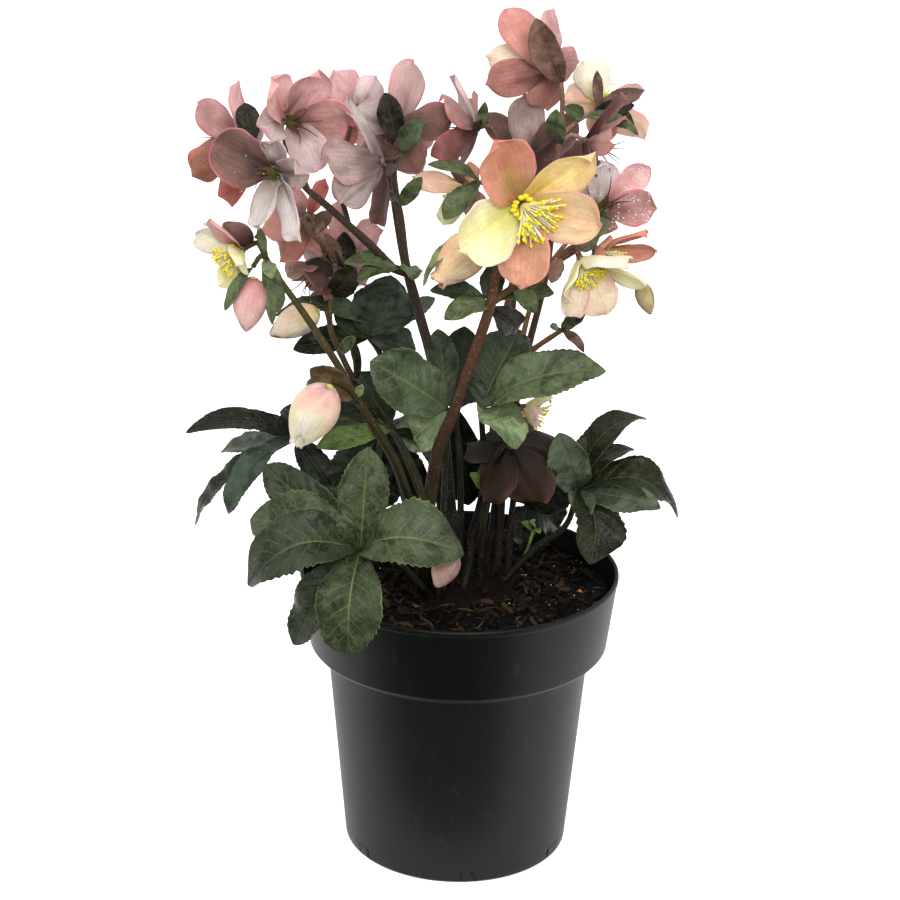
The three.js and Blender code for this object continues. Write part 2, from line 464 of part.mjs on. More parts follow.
function pot(name, grow) {
  const foot = FOOT_RADIUS + grow;
  const body = BODY_TOP_RADIUS + grow;
  const band = BAND_BOTTOM_RADIUS + grow;
  const rim = RIM_RADIUS + grow;
  const wall = WALL + 2 * grow;
  let shell = lathe([
    [0, 0], [foot - FOOT_EDGE, 0], [foot, FOOT_EDGE],
    [body, BODY_TOP_Z], [body + 3, BODY_TOP_Z + 2.5], [band - 2, BODY_TOP_Z + 4.5],
    [band, BAND_BOTTOM_Z], [rim, POT_HEIGHT - LIP_HEIGHT], [rim, POT_HEIGHT + grow],
    [rim - wall, POT_HEIGHT + grow], [band - wall, BAND_BOTTOM_Z + 1.5],
    [body - wall, BODY_TOP_Z + 3], [foot - wall + 1, FOOT_WALL_TOP],
    [foot - FOOT_WALL, FOOT_WALL_TOP - 2], [foot - FOOT_WALL, FLOOR], [0, FLOOR],
  ]);
  for (let i = 0; i < DRAIN_COUNT; i++) {
    const turn = new THREE.Matrix4().makeRotationZ((i * 2 * Math.PI) / DRAIN_COUNT);
    const hole = new THREE.CylinderGeometry(DRAIN_RADIUS, DRAIN_RADIUS, 3 * FLOOR, DRAIN_SIDES);
    hole.rotateX(Math.PI / 2).translate(0, -DRAIN_RING, FLOOR / 2).applyMatrix4(turn);
    const notch = new THREE.BoxGeometry(NOTCH_WIDTH, 2 * NOTCH_DEPTH, 2 * NOTCH_HEIGHT);
    notch.translate(0, -FOOT_RADIUS, 0).applyMatrix4(turn);
    shell = shell.subtract(solid(hole)).subtract(solid(notch));
  }
  return shell;
}

function pottingMix(name, grow) {
  return lathe([
    [0, FLOOR + GAP],
    [FOOT_RADIUS - FOOT_WALL - GAP, FLOOR + GAP],
    [FOOT_RADIUS - FOOT_WALL - GAP, FOOT_WALL_TOP - 1.5],
    [FOOT_RADIUS - WALL + 1 - 1.5 * GAP, FOOT_WALL_TOP + 1.5],
    [BODY_TOP_RADIUS - WALL - 1.5 * GAP, BODY_TOP_Z + 3.5],
    [BAND_BOTTOM_RADIUS - WALL - 2 * GAP, BAND_BOTTOM_Z + 2.5],
    [MIX_EDGE_RADIUS, MIX_EDGE_Z + grow],
    [MIX_DOME_RADIUS, MIX_TOP_Z + grow],
    [0, MIX_TOP_Z + grow],
  ]);
}

function crown(name, grow) {
  const bottom = MIX_TOP_Z + GAP - grow;
  const shoulder = MIX_TOP_Z + GAP + CROWN_SHOULDER + grow;
  const top = MIX_TOP_Z + GAP + CROWN_HEIGHT + grow;
  const wide = CROWN_RADIUS + grow;
  return lathe([
    [0, bottom], [wide, bottom], [wide - 3, shoulder], [wide * 0.6, top - 1.5], [wide * 0.3, top], [0, top],
  ]);
}

// The last two points of a pedicel run straight into the back of its flower.
function routePoints([, , points, flower]) {
  const route = points.map(vec);
  if (flower) {
    const [centre, facing] = FLOWERS[flower];
    for (const back of [PEDICEL_LEAD, PEDICEL_END]) {
      route.push(vec(centre).addScaledVector(direction(facing), -back));
    }
  }
  return route;
}

function nearest(point, candidates) {
  return candidates.reduce((best, other) => (
    other.distanceTo(point) < best.distanceTo(point) ? other : best));
}

function stem(name, grow) {
  const routes = STEMS[name];
  const tubes = routes.map((route) => tube(routePoints(route), route[0] + grow, route[1] + grow));
  const skeleton = routes.flatMap((route) => stemCurve(routePoints(route)).getSpacedPoints(SKELETON_POINTS));
  const bracts = (BRACTS[name] ?? []).map(([base, ...shape]) => (
    leaflet(nearest(vec(base), skeleton), shape, grow, BRACT_STOPS)));
  return wasm.Manifold.union([...tubes, ...bracts]);
}

function leaf(name, grow) {
  const [petiole, hub, leaflets] = LEAVES[name];
  const stalk = tube([...petiole, hub].map(vec), PETIOLE_BASE_RADIUS + grow, PETIOLE_END_RADIUS + grow);
  return wasm.Manifold.union([stalk, ...leaflets.map((shape) => leaflet(vec(hub), shape, grow))]);
}

// A flower is one thickened disc with a lobe for each sepal. Round its middle go spokes: for each
// sepal a left shoulder, its tip, a right shoulder and the notch towards the next sepal.
function flowerSpokes(sepals) {
  const byClock = [...sepals].sort((a, b) => a[0] - b[0]);
  return byClock.flatMap(([clock, length, width, cup, curl], i) => {
    const next = byClock[(i + 1) % byClock.length];
    const last = byClock[(i + byClock.length - 1) % byClock.length];
    const turnOn = (next[0] - clock + 360) % 360;
    const turnBack = (clock - last[0] + 360) % 360;
    const out = SHOULDER_OUT * length;
    const aside = SHOULDER_SIDE * width;
    const shoulder = THREE.MathUtils.radToDeg(Math.atan2(aside, out));
    const reach = Math.hypot(aside, out);
    const lean = cup + SHOULDER_CURL * curl;
    return [
      [clock - Math.min(shoulder, SHOULDER_LIMIT * turnBack), reach, lean],
      [clock, length, cup + TIP_CURL * curl],
      [clock + Math.min(shoulder, SHOULDER_LIMIT * turnOn), reach, lean],
      [clock + turnOn / 2, NOTCH_REACH * (length + next[1]) / 2, (cup + next[3]) / 2],
    ];
  });
}

function flower(name, grow) {
  const [centre, facing, , sepals] = FLOWERS[name];
  const normal = direction(facing);
  const up = new THREE.Vector3(0, 0, 1).addScaledVector(normal, -normal.z).normalize();
  const right = up.clone().cross(normal);
  const spokes = flowerSpokes(sepals);
  const rings = [THROAT, WAIST, 1];
  const positions = [];
  for (const side of [1, -1]) {
    const rise = side * (BLADE_THICKNESS / 2 + grow);
    positions.push(...vec(centre).addScaledVector(normal, side * (BOSS_THICKNESS / 2 + grow)));
    for (const ring of rings) {
      for (const [clock, reach, lean] of spokes) {
        const out = ring * reach + (ring === 1 ? grow : 0);
        const point = vec(centre)
          .addScaledVector(up, out * Math.cos(rad(clock)) * Math.cos(rad(lean)))
          .addScaledVector(right, out * Math.sin(rad(clock)) * Math.cos(rad(lean)))
          .addScaledVector(normal, out * Math.sin(rad(lean)) + rise);
        positions.push(...point);
      }
    }
  }
  const count = spokes.length;
  const under = 1 + rings.length * count;
  const at = (face, ring, spoke) => face * under + 1 + ring * count + (spoke % count);
  const index = [];
  for (let spoke = 0; spoke < count; spoke++) {
    index.push(0, at(0, 0, spoke + 1), at(0, 0, spoke));
    index.push(under, at(1, 0, spoke), at(1, 0, spoke + 1));
    for (let ring = 0; ring < rings.length - 1; ring++) {
      index.push(at(0, ring, spoke), at(0, ring, spoke + 1), at(0, ring + 1, spoke + 1));
      index.push(at(0, ring, spoke), at(0, ring + 1, spoke + 1), at(0, ring + 1, spoke));
      index.push(at(1, ring, spoke), at(1, ring + 1, spoke + 1), at(1, ring, spoke + 1));
      index.push(at(1, ring, spoke), at(1, ring + 1, spoke), at(1, ring + 1, spoke + 1));
    }
    const rim = rings.length - 1;
    index.push(at(0, rim, spoke), at(0, rim, spoke + 1), at(1, rim, spoke + 1));
    index.push(at(0, rim, spoke), at(1, rim, spoke + 1), at(1, rim, spoke));
  }
  return closedBody(positions, index);
}

function bud(name, grow) {
  const [base, tip, width] = BUDS[name];
  const axis = vec(tip).sub(vec(base));
  const length = axis.length() + 2 * grow;
  const radius = width / 2 + grow;
  const outline = BUD_PROFILE.map(([r, s]) => new THREE.Vector2(r * radius, s * length - grow));
  const shape = new THREE.LatheGeometry(outline, BUD_SIDES);
  const turn = new THREE.Quaternion().setFromUnitVectors(new THREE.Vector3(0, 1, 0), axis.normalize());
  shape.applyQuaternion(turn).translate(...base);
  return closedBody(Array.from(shape.getAttribute("position").array), Array.from(shape.index.array));
}

// ---------------------------------------------------------------- assembly
const MATERIALS = {
  pot: { color: 0x3a3a3c, roughness: 0.45, metalness: 0 },
  mix: { color: 0x2c211b, roughness: 0.95, metalness: 0 },
  crown: { color: 0x4a3327, roughness: 0.8, metalness: 0 },
  stem: { color: 0x5a3b34, roughness: 0.5, metalness: 0 },
  leaf: { color: 0x3f5142, roughness: 0.45, metalness: 0 },
  rose: { color: 0xb8838a, roughness: 0.6, metalness: 0 },
  dusk: { color: 0x857078, roughness: 0.6, metalness: 0 },
  cream: { color: 0xe6dcb0, roughness: 0.6, metalness: 0 },
};
const FLOWER_MATERIAL = { rose: "rose", dusk: "dusk", rosedusk: "rose", wet: "dusk", maroon: "dusk" };

const hellebore = new THREE.Group();
const placed = [];

function addMesh(name, body, material) {
  const mesh = new THREE.Mesh(geometryOf(body), new THREE.MeshStandardMaterial(MATERIALS[material]));
  mesh.name = name;
  hellebore.add(mesh);
}

function boxesMeet(a, b) {
  return [0, 1, 2].every((k) => a.min[k] < b.max[k] && b.min[k] < a.max[k]);
}

// A grown piece gives way to the pieces placed before it, with a gap to each.
function place(name, build, material) {
  let body = build(name, 0);
  for (const other of placed) {
    if (boxesMeet(body.boundingBox(), other.box)) body = body.subtract(other.grown);
  }
  body = largestPiece(body.simplify(SMOOTHING));
  addMesh(name, body, material);
  const grown = build(name, GAP);
  placed.push({ grown, box: grown.boundingBox() });
}

function placeWhole(name, build, material) {
  addMesh(name, build(name, 0), material);
  const grown = build(name, GAP);
  placed.push({ grown, box: grown.boundingBox() });
}

placeWhole("pot", pot, "pot");
placeWhole("potting_mix", pottingMix, "mix");
placeWhole("crown", crown, "crown");
for (const name of Object.keys(STEMS)) place(name, stem, "stem");
for (const name of Object.keys(LEAVES)) place(name, leaf, "leaf");
for (const name of Object.keys(FLOWERS)) place(name, flower, FLOWER_MATERIAL[FLOWERS[name][2]] ?? "cream");
for (const name of Object.keys(BUDS)) place(name, bud, "cream");

export default hellebore;
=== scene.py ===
"""Looks of the potted hellebore: nursery pot, bark mix, stems, leaves, flowers and buds.

Lengths in the tables and in the shape code are millimetres, and angles in the tables are degrees;
the meshes of pieces are scaled to metres. The floor, its card, the lights and the camera are placed
in metres. Azimuth 0 faces the camera (-Y), and +X is to the right.
"""
import math
import zlib

import bpy
import numpy as np
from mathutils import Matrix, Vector

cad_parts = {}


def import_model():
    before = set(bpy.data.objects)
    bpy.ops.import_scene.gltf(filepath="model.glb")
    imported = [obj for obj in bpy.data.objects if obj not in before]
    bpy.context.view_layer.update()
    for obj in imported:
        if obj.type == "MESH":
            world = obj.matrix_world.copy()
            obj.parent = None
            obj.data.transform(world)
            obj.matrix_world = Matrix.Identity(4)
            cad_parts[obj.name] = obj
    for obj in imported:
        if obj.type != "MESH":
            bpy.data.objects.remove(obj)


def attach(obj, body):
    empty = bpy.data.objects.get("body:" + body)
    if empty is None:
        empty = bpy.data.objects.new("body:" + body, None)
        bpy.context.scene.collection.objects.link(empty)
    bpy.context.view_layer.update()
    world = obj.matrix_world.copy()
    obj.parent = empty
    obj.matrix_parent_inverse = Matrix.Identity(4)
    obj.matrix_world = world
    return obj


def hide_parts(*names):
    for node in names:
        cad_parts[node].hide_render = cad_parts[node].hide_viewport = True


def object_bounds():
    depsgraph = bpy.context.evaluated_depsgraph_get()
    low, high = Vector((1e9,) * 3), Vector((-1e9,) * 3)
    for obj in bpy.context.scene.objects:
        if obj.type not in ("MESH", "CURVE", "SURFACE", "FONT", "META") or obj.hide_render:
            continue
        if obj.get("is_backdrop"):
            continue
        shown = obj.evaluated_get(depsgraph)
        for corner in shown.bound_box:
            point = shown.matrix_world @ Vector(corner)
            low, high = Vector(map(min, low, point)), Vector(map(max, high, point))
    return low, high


# ------------------------------------------------------------------ driving sizes
MM = 0.001
SEED = 20
UP = np.array([0.0, 0.0, 1.0])
ALBEDO = 0.66                  # the light is bright enough to burn the floor out to white
PETAL_ALBEDO = 0.86            # sepals also let light through from behind

CAMERA_PLACE = (-0.0578, -1.1675, 0.657)
CAMERA_DOWN = 19.57            # degrees that it looks down
CAMERA_LENS, CAMERA_SENSOR = 87.32, 36    # focal length and sensor width in mm
CAMERA_SHIFT = 0.101           # share of the sensor that the picture is moved sideways
CAMERA_CLIP = (0.05, 100)

WHITE = (1.0, 1.0, 1.0, 1.0)
BLACK = (0.004, 0.004, 0.004, 1.0)
FLOOR_REACH = 12.0             # from the middle of the floor to each side
FLOOR_TONES = ((0.93, 0.93, 0.93), (0.96, 0.96, 0.96))
FLOOR_GLOW = 0.45
CARD_CORNERS = ((-0.24, -0.07, 0.004), (0.07, -0.11, 0.004), (2.5, -2.6, 0.004), (-2.5, -2.6, 0.004))
WORLD_LOW, WORLD_HIGH, WORLD_FRONT = 0.55, 1.10, 0.95    # brightness below, overhead and in front
OVERHEAD_AIM, OVERHEAD_SPREAD, OVERHEAD_STRENGTH = (0.15, 0.45, -1.0), 40, 1.1
KEY_PLACE, KEY_AIM, KEY_SIZE, KEY_POWER = (0.1, -2.0, 1.25), (0, 0, 0.3), 0.6, 30

POT_HEIGHT = 170
RIM_RADIUS = 92.0
BAND_BOTTOM_RADIUS = 86.5
BAND_BOTTOM_Z = 127
BODY_TOP_RADIUS = 76.0
BODY_TOP_Z = 120
FOOT_RADIUS = 65.6
WALL = 1.9
FLOOR = 3                      # thickness of the pot's floor
FOOT_WALL = 4.6
FOOT_WALL_TOP = 12
POT_SIDES = 160
POT_SHARP_ANGLE = 38
ROUNDING = 1.0                 # radius of the pot's corners
BAND_ROUNDING = 0.20           # the band's lower edge is crisper
DRAIN_COUNT = 6                # drain holes, and foot notches in the same directions
DRAIN_RADIUS = 4.5
DRAIN_RING = 46                # from the pot's middle to a drain hole's
DRAIN_SIDES = 32
NOTCH_WIDTH = 22
NOTCH_HEIGHT = 8
NOTCH_DEPTH = 2.4
NOTCH_RIB = 1.0                # the rib that halves a notch
NOTCH_SLANT = 0.18             # how far a notch's sides lean in, as a share of its width

MIX_RADIUS = 87
MIX_EDGE_Z = 157
MIX_TOP_Z = 160
MIX_SIDES, MIX_RINGS = 128, 44
CHIPS = (("potting_mix_lumps", 150, 8, 14), ("potting_mix_shreds", 950, 4, 11),
         ("potting_mix_crumbs", 1300, 1.5, 4.5))    # name, count, shortest, longest
# a bark splinter's section, and places along it with its girth there
SPLINTER_SECTION = ((1, 0), (0.6, 0.8), (-0.4, 0.9), (-1, 0.1), (-0.5, -0.8), (0.5, -0.9))
SPLINTER_GIRTHS = ((-0.5, 0.35), (-0.42, 0.8), (-0.1, 1.0), (0.25, 0.95), (0.45, 0.6), (0.5, 0.2))
STRAW_COUNT = 46
GRAIN_COUNT = 150
BEAD_PLACE, BEAD_WIDTH = (69.0, -12.0), 3.0
CROWN_RADIUS = 33
CROWN_HEIGHT = 8
CROWN_SIDES, CROWN_RINGS = 72, 18
CROWN_STUBS = 46

SEPAL_ROWS, SEPAL_COLS = 30, 19
SEPAL_THICKNESS = 0.45
SEPAL_FOOT = 2.0               # sepals start this far from the middle of the flower
SEPAL_CUP = 0.16               # how much a sepal's sides rise, as a share of its width
SEPAL_TWIST = 0.10             # how much one side rises over its neighbour, so that sepals overlap
SEPAL_LIFTS = (0.0, 0.5, 0.2, 0.6, 0.3, 1.4)    # how far each sepal is moved to the flower's front
SEPAL_RUMPLE = {"grey": 1.5, "deep": 1.3, "white": 1.2, "wine": 1.4, "maroon": 1.5, "umber": 1.5}
BUD_ROWS, BUD_COLS = 22, 19
BUD_THICKNESS = 0.5
BUD_STEP = 0.03                # each sepal of a bud is narrower by this share than the one outside it
BUD_WRAP = 82                  # degrees that a bud's sepal reaches to each side
BUD_FRONT = (0.1, -1.0, 0.2)   # the side of a bud from which the turns of its sepals count
DROPS_A_SEPAL = 60

LEAF_THICKNESS = 0.5
LEAF_FOLD = 0.22               # how much a leaflet's sides rise, as a share of its half width
LEAF_ARCH = 1.6                # how far a leaflet's curve is drawn out for each mm of its arch
LEAF_ROW_STEP = 1.1            # mm along a leaflet from one row of points to the next
LEAF_LEAST_ROWS, LEAF_MOST_ROWS = 18, 72
LEAF_COLS, NARROW_LEAF_COLS, NARROW_LEAF = 17, 11, 15    # up to that width a leaflet has fewer columns
TOOTH_LENGTH = 3.2             # one tooth of a leaf's margin, in mm along it
RIB_SPACING = 8.5              # mm along a leaflet from one side vein's swell to the next
CRUMPLES = ((30, 0.45), (17, 0.26), (9.5, 0.13))    # wavelength and height of a leaf's unevenness
PETIOLE_RADII = (2.2, 1.6)     # at its base and at its end
PATH_STEP = 2.5                # mm from one ring of a stem or petiole to the next
STALK_BACKS = (9, 2.5)         # a stalk's last points lie this far behind the flower's middle

# how many stamens, how long against the large flower's, how wide their anthers, how far they spread
STAMENS = {"star": (72, 1.12, 1.0, 57), "cream": (60, 0.70, 0.84, 48), "peach": (26, 0.72, 0.72, 50)}
HEART_AXES = {"flower_10": (48, -30), "flower_13": (35, -45), "flower_18": (-55, -25)}
# the other parts in a flower's heart: how many, how far they spread, and their radius at each ring
NECTARIES = (16, 74, (0.5, 0.8, 1.1, 1.35, 1.75, 1.3))
NECTARY_LEAST_LEAN = 0.55      # radians; nearer the middle there is no nectary
CARPELS = (4, 16, (1.0, 1.3, 1.3, 1.0, 0.5, 0.32, 0.28))
PODS = (5, 26, (1.0, 1.7, 2.1, 2.2, 2.1, 1.8, 1.35, 0.8, 0.45))
POD_STRIPES = (0, 0, 0.1, 0.2, 0.3, 0.45, 0.7, 0.9, 1)    # how much of the stripe's colour each ring has
STUBS = (12, 60, (0.5, 0.6, 0.6, 0.4))
GOLDEN_ANGLE = math.pi * (3 - math.sqrt(5))

# kind of flower or bud: its slot; the others have petal_cream
PETAL_SLOTS = {"rose": "petal_rose", "rosedusk": "petal_rose", "dusk": "petal_dusk", "wet": "petal_dusk",
               "maroon": "petal_dusk"}
BUD_SLOTS = {"dark": "petal_dusk", "pink": "petal_rose"}


# ------------------------------------------------------------------ layout
# flower: centre, facing [azimuth, elevation], kind, sepals [clock angle, length, width, cup, curl]
FLOWERS = {
  "flower_01": [[-120, -24, 424], [-135, 0], "rose",
    [[-175, 38, 17, 15, 10], [-98, 30, 22, 20, 10], [-14, 30, 14, 15, 10], [41, 29, 20, 20, 10],
      [125, 30, 21, 20, 10]]],
  "flower_02": [[-100, -70, 417], [-45, 5], "dusk",
    [[176, 29, 25, 20, 10], [-64, 34, 29, 38, -10], [22, 19, 17, 15, 10], [82, 27, 17, 5, 10],
      [132, 42, 21, 10, 10]]],
  "flower_03": [[-95, -34, 437], [35, 0], "rose",
    [[-88, 23, 20, 15, 10], [-36, 33, 22, 18, 8], [22, 30, 28, 22, 5], [98, 31, 27, 22, -5],
      [158, 29, 21, 20, 10]]],
  "flower_04": [[-59, 22, 431], [170, 5], "rose",
    [[-110, 24, 20, 20, 10], [-28, 20, 16, 20, 10], [37, 25, 20, 20, 10], [92, 25, 21, 20, 10],
      [143, 35, 20, 20, 10]]],
  "flower_05": [[-46, -44, 417], [-115, -20], "dusk",
    [[-90, 30, 18, 5, 10], [-26, 41, 22, 15, 10], [63, 31, 28, 30, 5], [118, 30, 22, 30, 10],
      [-165, 36, 18, 20, 10]]],
  "flower_06": [[-38, -2, 426], [-170, -5], "dusk",
    [[-151, 29, 21, 15, 10], [-84, 37, 21, 15, 10], [-20, 39, 21, 15, 10], [62, 24, 20, 20, 10],
      [145, 24, 18, 20, 10]]],
  "flower_07": [[6, 22, 422], [-100, -5], "dusk",
    [[-165, 26, 20, 20, 10], [-75, 38, 18, 0, 10], [-28, 32, 18, 15, 10], [42, 28, 20, 20, 10],
      [120, 30, 20, 30, 10]]],
  "flower_08": [[35, 12, 407], [175, 0], "dusk",
    [[-149, 30, 22, 15, 10], [-54, 33, 21, 15, 10], [5, 34, 21, 15, 10], [48, 33, 14, 15, 10],
      [152, 28, 22, 15, 10]]],
  "flower_09": [[45, 8, 456], [-155, 0], "rosedusk",
    [[-172, 23, 21, 15, 10], [-86, 22, 21, 15, 10], [-16, 33, 17, 20, 10], [29, 39, 23, 20, 10],
      [104, 33, 20, 20, 10], [78, 34, 18, 45, 0]]],
  "flower_10": [[25, -76, 402], [12, -5], "star",
    [[-176, 41, 27, 20, 5], [-115, 42, 32, 20, 5], [-27, 46, 31, 18, 5], [48, 44, 24, 15, 5],
      [102, 40, 30, 15, 5]]],
  "flower_11": [[36, 12, 263], [75, -25], "peach",
    [[-150, 15, 12, 30, 10], [-80, 16, 12, 30, 10], [0, 17, 12, 25, 10], [70, 17, 12, 25, 10],
      [140, 15, 12, 30, 10]]],
  "flower_12": [[0, 0, 394], [-140, -25], "peach",
    [[-137, 26, 18, 20, 10], [-71, 26, 18, 20, 10], [-8, 18, 15, 10, 10], [60, 27, 15, 25, 10],
      [145, 22, 13, 30, 10]]],
  "flower_13": [[58, -62, 369], [30, -40], "cream",
    [[-150, 29, 20, 45, 5], [-85, 29, 19, 40, 5], [8, 35, 19, 35, 5], [66, 35, 20, 45, 5],
      [151, 30, 23, 50, 5]]],
  "flower_14": [[69, -34, 367], [50, -25], "peach",
    [[-132, 21, 17, 20, 10], [-54, 24, 18, 20, 10], [24, 28, 17, 30, 10], [72, 31, 19, 35, 10],
      [150, 20, 17, 20, 10]]],
  "flower_15": [[73, -12, 384], [20, 35], "wet",
    [[-154, 20, 17, 20, 10], [-68, 33, 18, 35, 10], [-4, 26, 21, 35, 10], [57, 33, 15, 30, 10],
      [107, 28, 20, 25, 10]]],
  "flower_16": [[65, 0, 419], [70, -20], "dusk",
    [[-125, 22, 16, 25, 10], [-60, 24, 16, 30, 10], [-12, 34, 15, 10, 10], [38, 24, 17, 25, 10],
      [165, 20, 12, 25, 10]]],
  "flower_17": [[77, 36, 434], [165, 10], "peach",
    [[-139, 34, 20, 15, 10], [-78, 22, 12, 15, 10], [32, 23, 20, 15, 10], [98, 25, 17, 15, 10],
      [174, 29, 18, 15, 10]]],
  "flower_18": [[-121, -34, 367], [-60, -20], "cream",
    [[-150, 22, 18, 30, 10], [-60, 25, 17, 25, 10], [12, 28, 18, 20, 10], [85, 22, 18, 20, 10],
      [165, 20, 17, 20, 10]]],
  "flower_19": [[-86, 8, 375], [170, -5], "rose",
    [[-158, 26, 17, 20, 10], [-20, 22, 9, 20, 10], [59, 24, 18, 20, 10], [109, 32, 18, 20, 10],
      [146, 34, 18, 20, 10]]],
  "flower_20": [[-67, 34, 347], [-165, 0], "rose",
    [[-143, 28, 22, 20, 10], [-68, 28, 23, 15, 10], [1, 29, 14, 15, 10], [78, 22, 21, 20, 10],
      [164, 25, 20, 20, 10]]],
  "flower_21": [[-80, 6, 349], [-55, -45], "dusk",
    [[-144, 21, 18, 25, 10], [-66, 18, 17, 35, 10], [12, 18, 17, 35, 10], [89, 20, 18, 35, 10],
      [145, 19, 18, 30, 10]]],
  "flower_22": [[26, -36, 257], [170, -45], "maroon",
    [[-140, 36, 27, 35, 10], [-76, 38, 25, 35, 10], [-8, 34, 24, 35, 10], [66, 37, 27, 35, 10],
      [148, 34, 26, 35, 10]]],
  "flower_23": [[-42, 64, 402], [160, 10], "rose",
    [[-140, 26, 20, 20, 10], [-72, 27, 20, 15, 10], [0, 28, 20, 18, 10], [72, 29, 20, 20, 10],
      [145, 27, 20, 18, 10]]],
  "flower_24": [[62, 70, 380], [140, 5], "peach",
    [[-150, 29, 20, 20, 10], [-70, 25, 18, 18, 10], [5, 25, 20, 20, 10], [75, 32, 22, 20, 10],
      [140, 31, 21, 18, 10]]]
}

# bud: base, tip, width, kind
BUDS = {
  "bud_01": [[-115, -30, 371], [-130, -32, 381], 11, "dark"],
  "bud_02": [[-114, -45, 355], [-118, -47, 327], 18, "pink"],
  "bud_03": [[-80, -10, 327], [-106, -12, 314], 17, "husk"],
  "bud_04": [[-73, -71, 303], [-91, -74, 272], 25, "creamrose"],
  "bud_05": [[-7, -84, 214], [-16, -86, 195], 14, "husk"],
  "bud_06": [[8, -52, 379], [-17, -60, 357], 23, "peach"],
  "bud_07": [[91, -50, 354], [97, -50, 337], 9, "cream"]
}

# leaf: petiole points, hub, leaflets [tip, width, arch, facing of the upper side]
LEAVES = {
  "leaf_front_left": [[[-16, -22, 160], [-34, -42, 188], [-50, -62, 207]], [-57, -72, 210],
    [[[-53, -66, 267], 27, 4, [-5, 10]], [[-2, -92, 216], 37, 22, [15, 45]],
      [[-63, -100, 160], 37, 20, [-12, 35]], [[-118, -82, 194], 37, 31, [-20, 50]],
      [[-117, -62, 224], 36, 18, [-15, 40]], [[-110, -45, 249], 26, 8, [-10, 30]],
      [[-77, -55, 241], 18, 3, [-10, 15]], [[-94, -74, 155], 28, 7, [-35, 20]]]],
  "leaf_left": [[[-22, -4, 160], [-52, -5, 195], [-84, -7, 226]], [-93, -5, 250],
    [[[-155, -10, 256], 20, 15, [-10, 65]], [[-138, 25, 232], 14, 4, [-10, 60]],
      [[-131, -28, 214], 19, 18, [-25, 55]], [[-154, 22, 187], 14, 17, [-30, 50]],
      [[-97, 20, 263], 14, 2, [0, 40]], [[-74, -22, 228], 17, 4, [0, 25]]]],
  "leaf_right": [[[22, -6, 160], [43, -4, 183], [60, -8, 199]], [66, -10, 221],
    [[[52, -34, 264], 24, 4, [-10, 30]], [[106, 12, 257], 21, 26, [-25, 60]],
      [[99, 4, 241], 14, 15, [-10, 60]], [[123, -15, 207], 27, 27, [10, 65]],
      [[109, -40, 222], 20, 4, [10, 45]], [[68, -36, 213], 15, 6, [0, 40]],
      [[71, -44, 190], 32, 15, [30, 25]]]],
  "leaf_mid_left": [[[-9, -18, 160], [-10, -16, 210], [-9, -18, 255]], [-9, -22, 274],
    [[[-32, -25, 252], 26, 3, [-22, 34]], [[-52, -34, 305], 34, 6, [-10, 35]],
      [[-13, 22, 307], 17, 4, [0, 40]]]],
  "leaf_mid_right": [[[11, -3, 160], [14, -6, 215], [11, -17, 258]], [9, -26, 275],
    [[[32, 0, 313], 36, 4, [-30, 15]], [[76, -38, 301], 27, 19, [5, 50]],
      [[27, -58, 263], 25, 9, [30, 50]]]],
  "leaf_upper": [[[-4, 18, 160], [-18, 25, 233], [-44, 28, 287]], [-52, 25, 301],
    [[[-40, 12, 341], 36, 3, [10, 10]], [[-25, 38, 290], 19, 2, [0, 30]],
      [[-72, 20, 323], 17, 2, [0, 30]], [[-105, 0, 321], 14, 20, [-10, 60]],
      [[-14, 48, 318], 13, 2, [0, 40]], [[-95, 12, 298], 17, 6, [0, 40]]]],
  "leaf_bright": [[[-12, -24, 160], [-22, -30, 225], [-33, -34, 255]], [-40, -36, 266],
    [[[-81, -52, 262], 14, 5, [0, 45]], [[-87, 10, 280], 22, 14, [0, 30]],
      [[-9, 0, 233], 16, 4, [0, 45]]]],
  "leaf_low_right": [[[18, 10, 160], [29, 15, 178], [36, 18, 192]], [40, 20, 201],
    [[[67, 20, 212], 24, 4, [0, 30]], [[34, 0, 184], 18, 4, [0, 30]], [[23, 34, 231], 22, 3, [0, 20]],
      [[61, 40, 177], 22, 5, [10, 30]]]],
  "leaf_back_left": [[[-14, 22, 160], [-28, 44, 186], [-38, 60, 216]], [-42, 68, 230],
    [[[-92, 84, 222], 30, 14, [150, 55]], [[-74, 112, 206], 30, 14, [170, 50]],
      [[-30, 118, 206], 32, 12, [180, 50]], [[-74, 60, 194], 27, 6, [-10, 20]],
      [[-43, 58, 184], 26, 6, [0, 20]], [[-20, 60, 186], 24, 6, [0, 20]],
      [[-58, 66, 268], 26, 6, [160, 30]]]],
  "leaf_back_right": [[[12, 24, 160], [34, 46, 178], [50, 64, 186]], [54, 72, 188],
    [[[8, 96, 190], 26, 10, [180, 50]], [[40, 122, 172], 32, 12, [180, 50]],
      [[86, 112, 170], 30, 12, [150, 50]], [[104, 74, 180], 26, 10, [120, 50]]]],
  "leaf_back_mid": [[[2, 28, 160], [2, 38, 205], [0, 46, 238]], [0, 50, 250],
    [[[-44, 62, 258], 28, 8, [180, 40]], [[-26, 96, 240], 28, 9, [180, 50]],
      [[22, 98, 238], 28, 9, [180, 50]], [[46, 60, 256], 28, 8, [180, 40]],
      [[8, 58, 186], 25, 5, [0, 20]], [[4, 58, 298], 26, 3, [180, 20]]]]
}

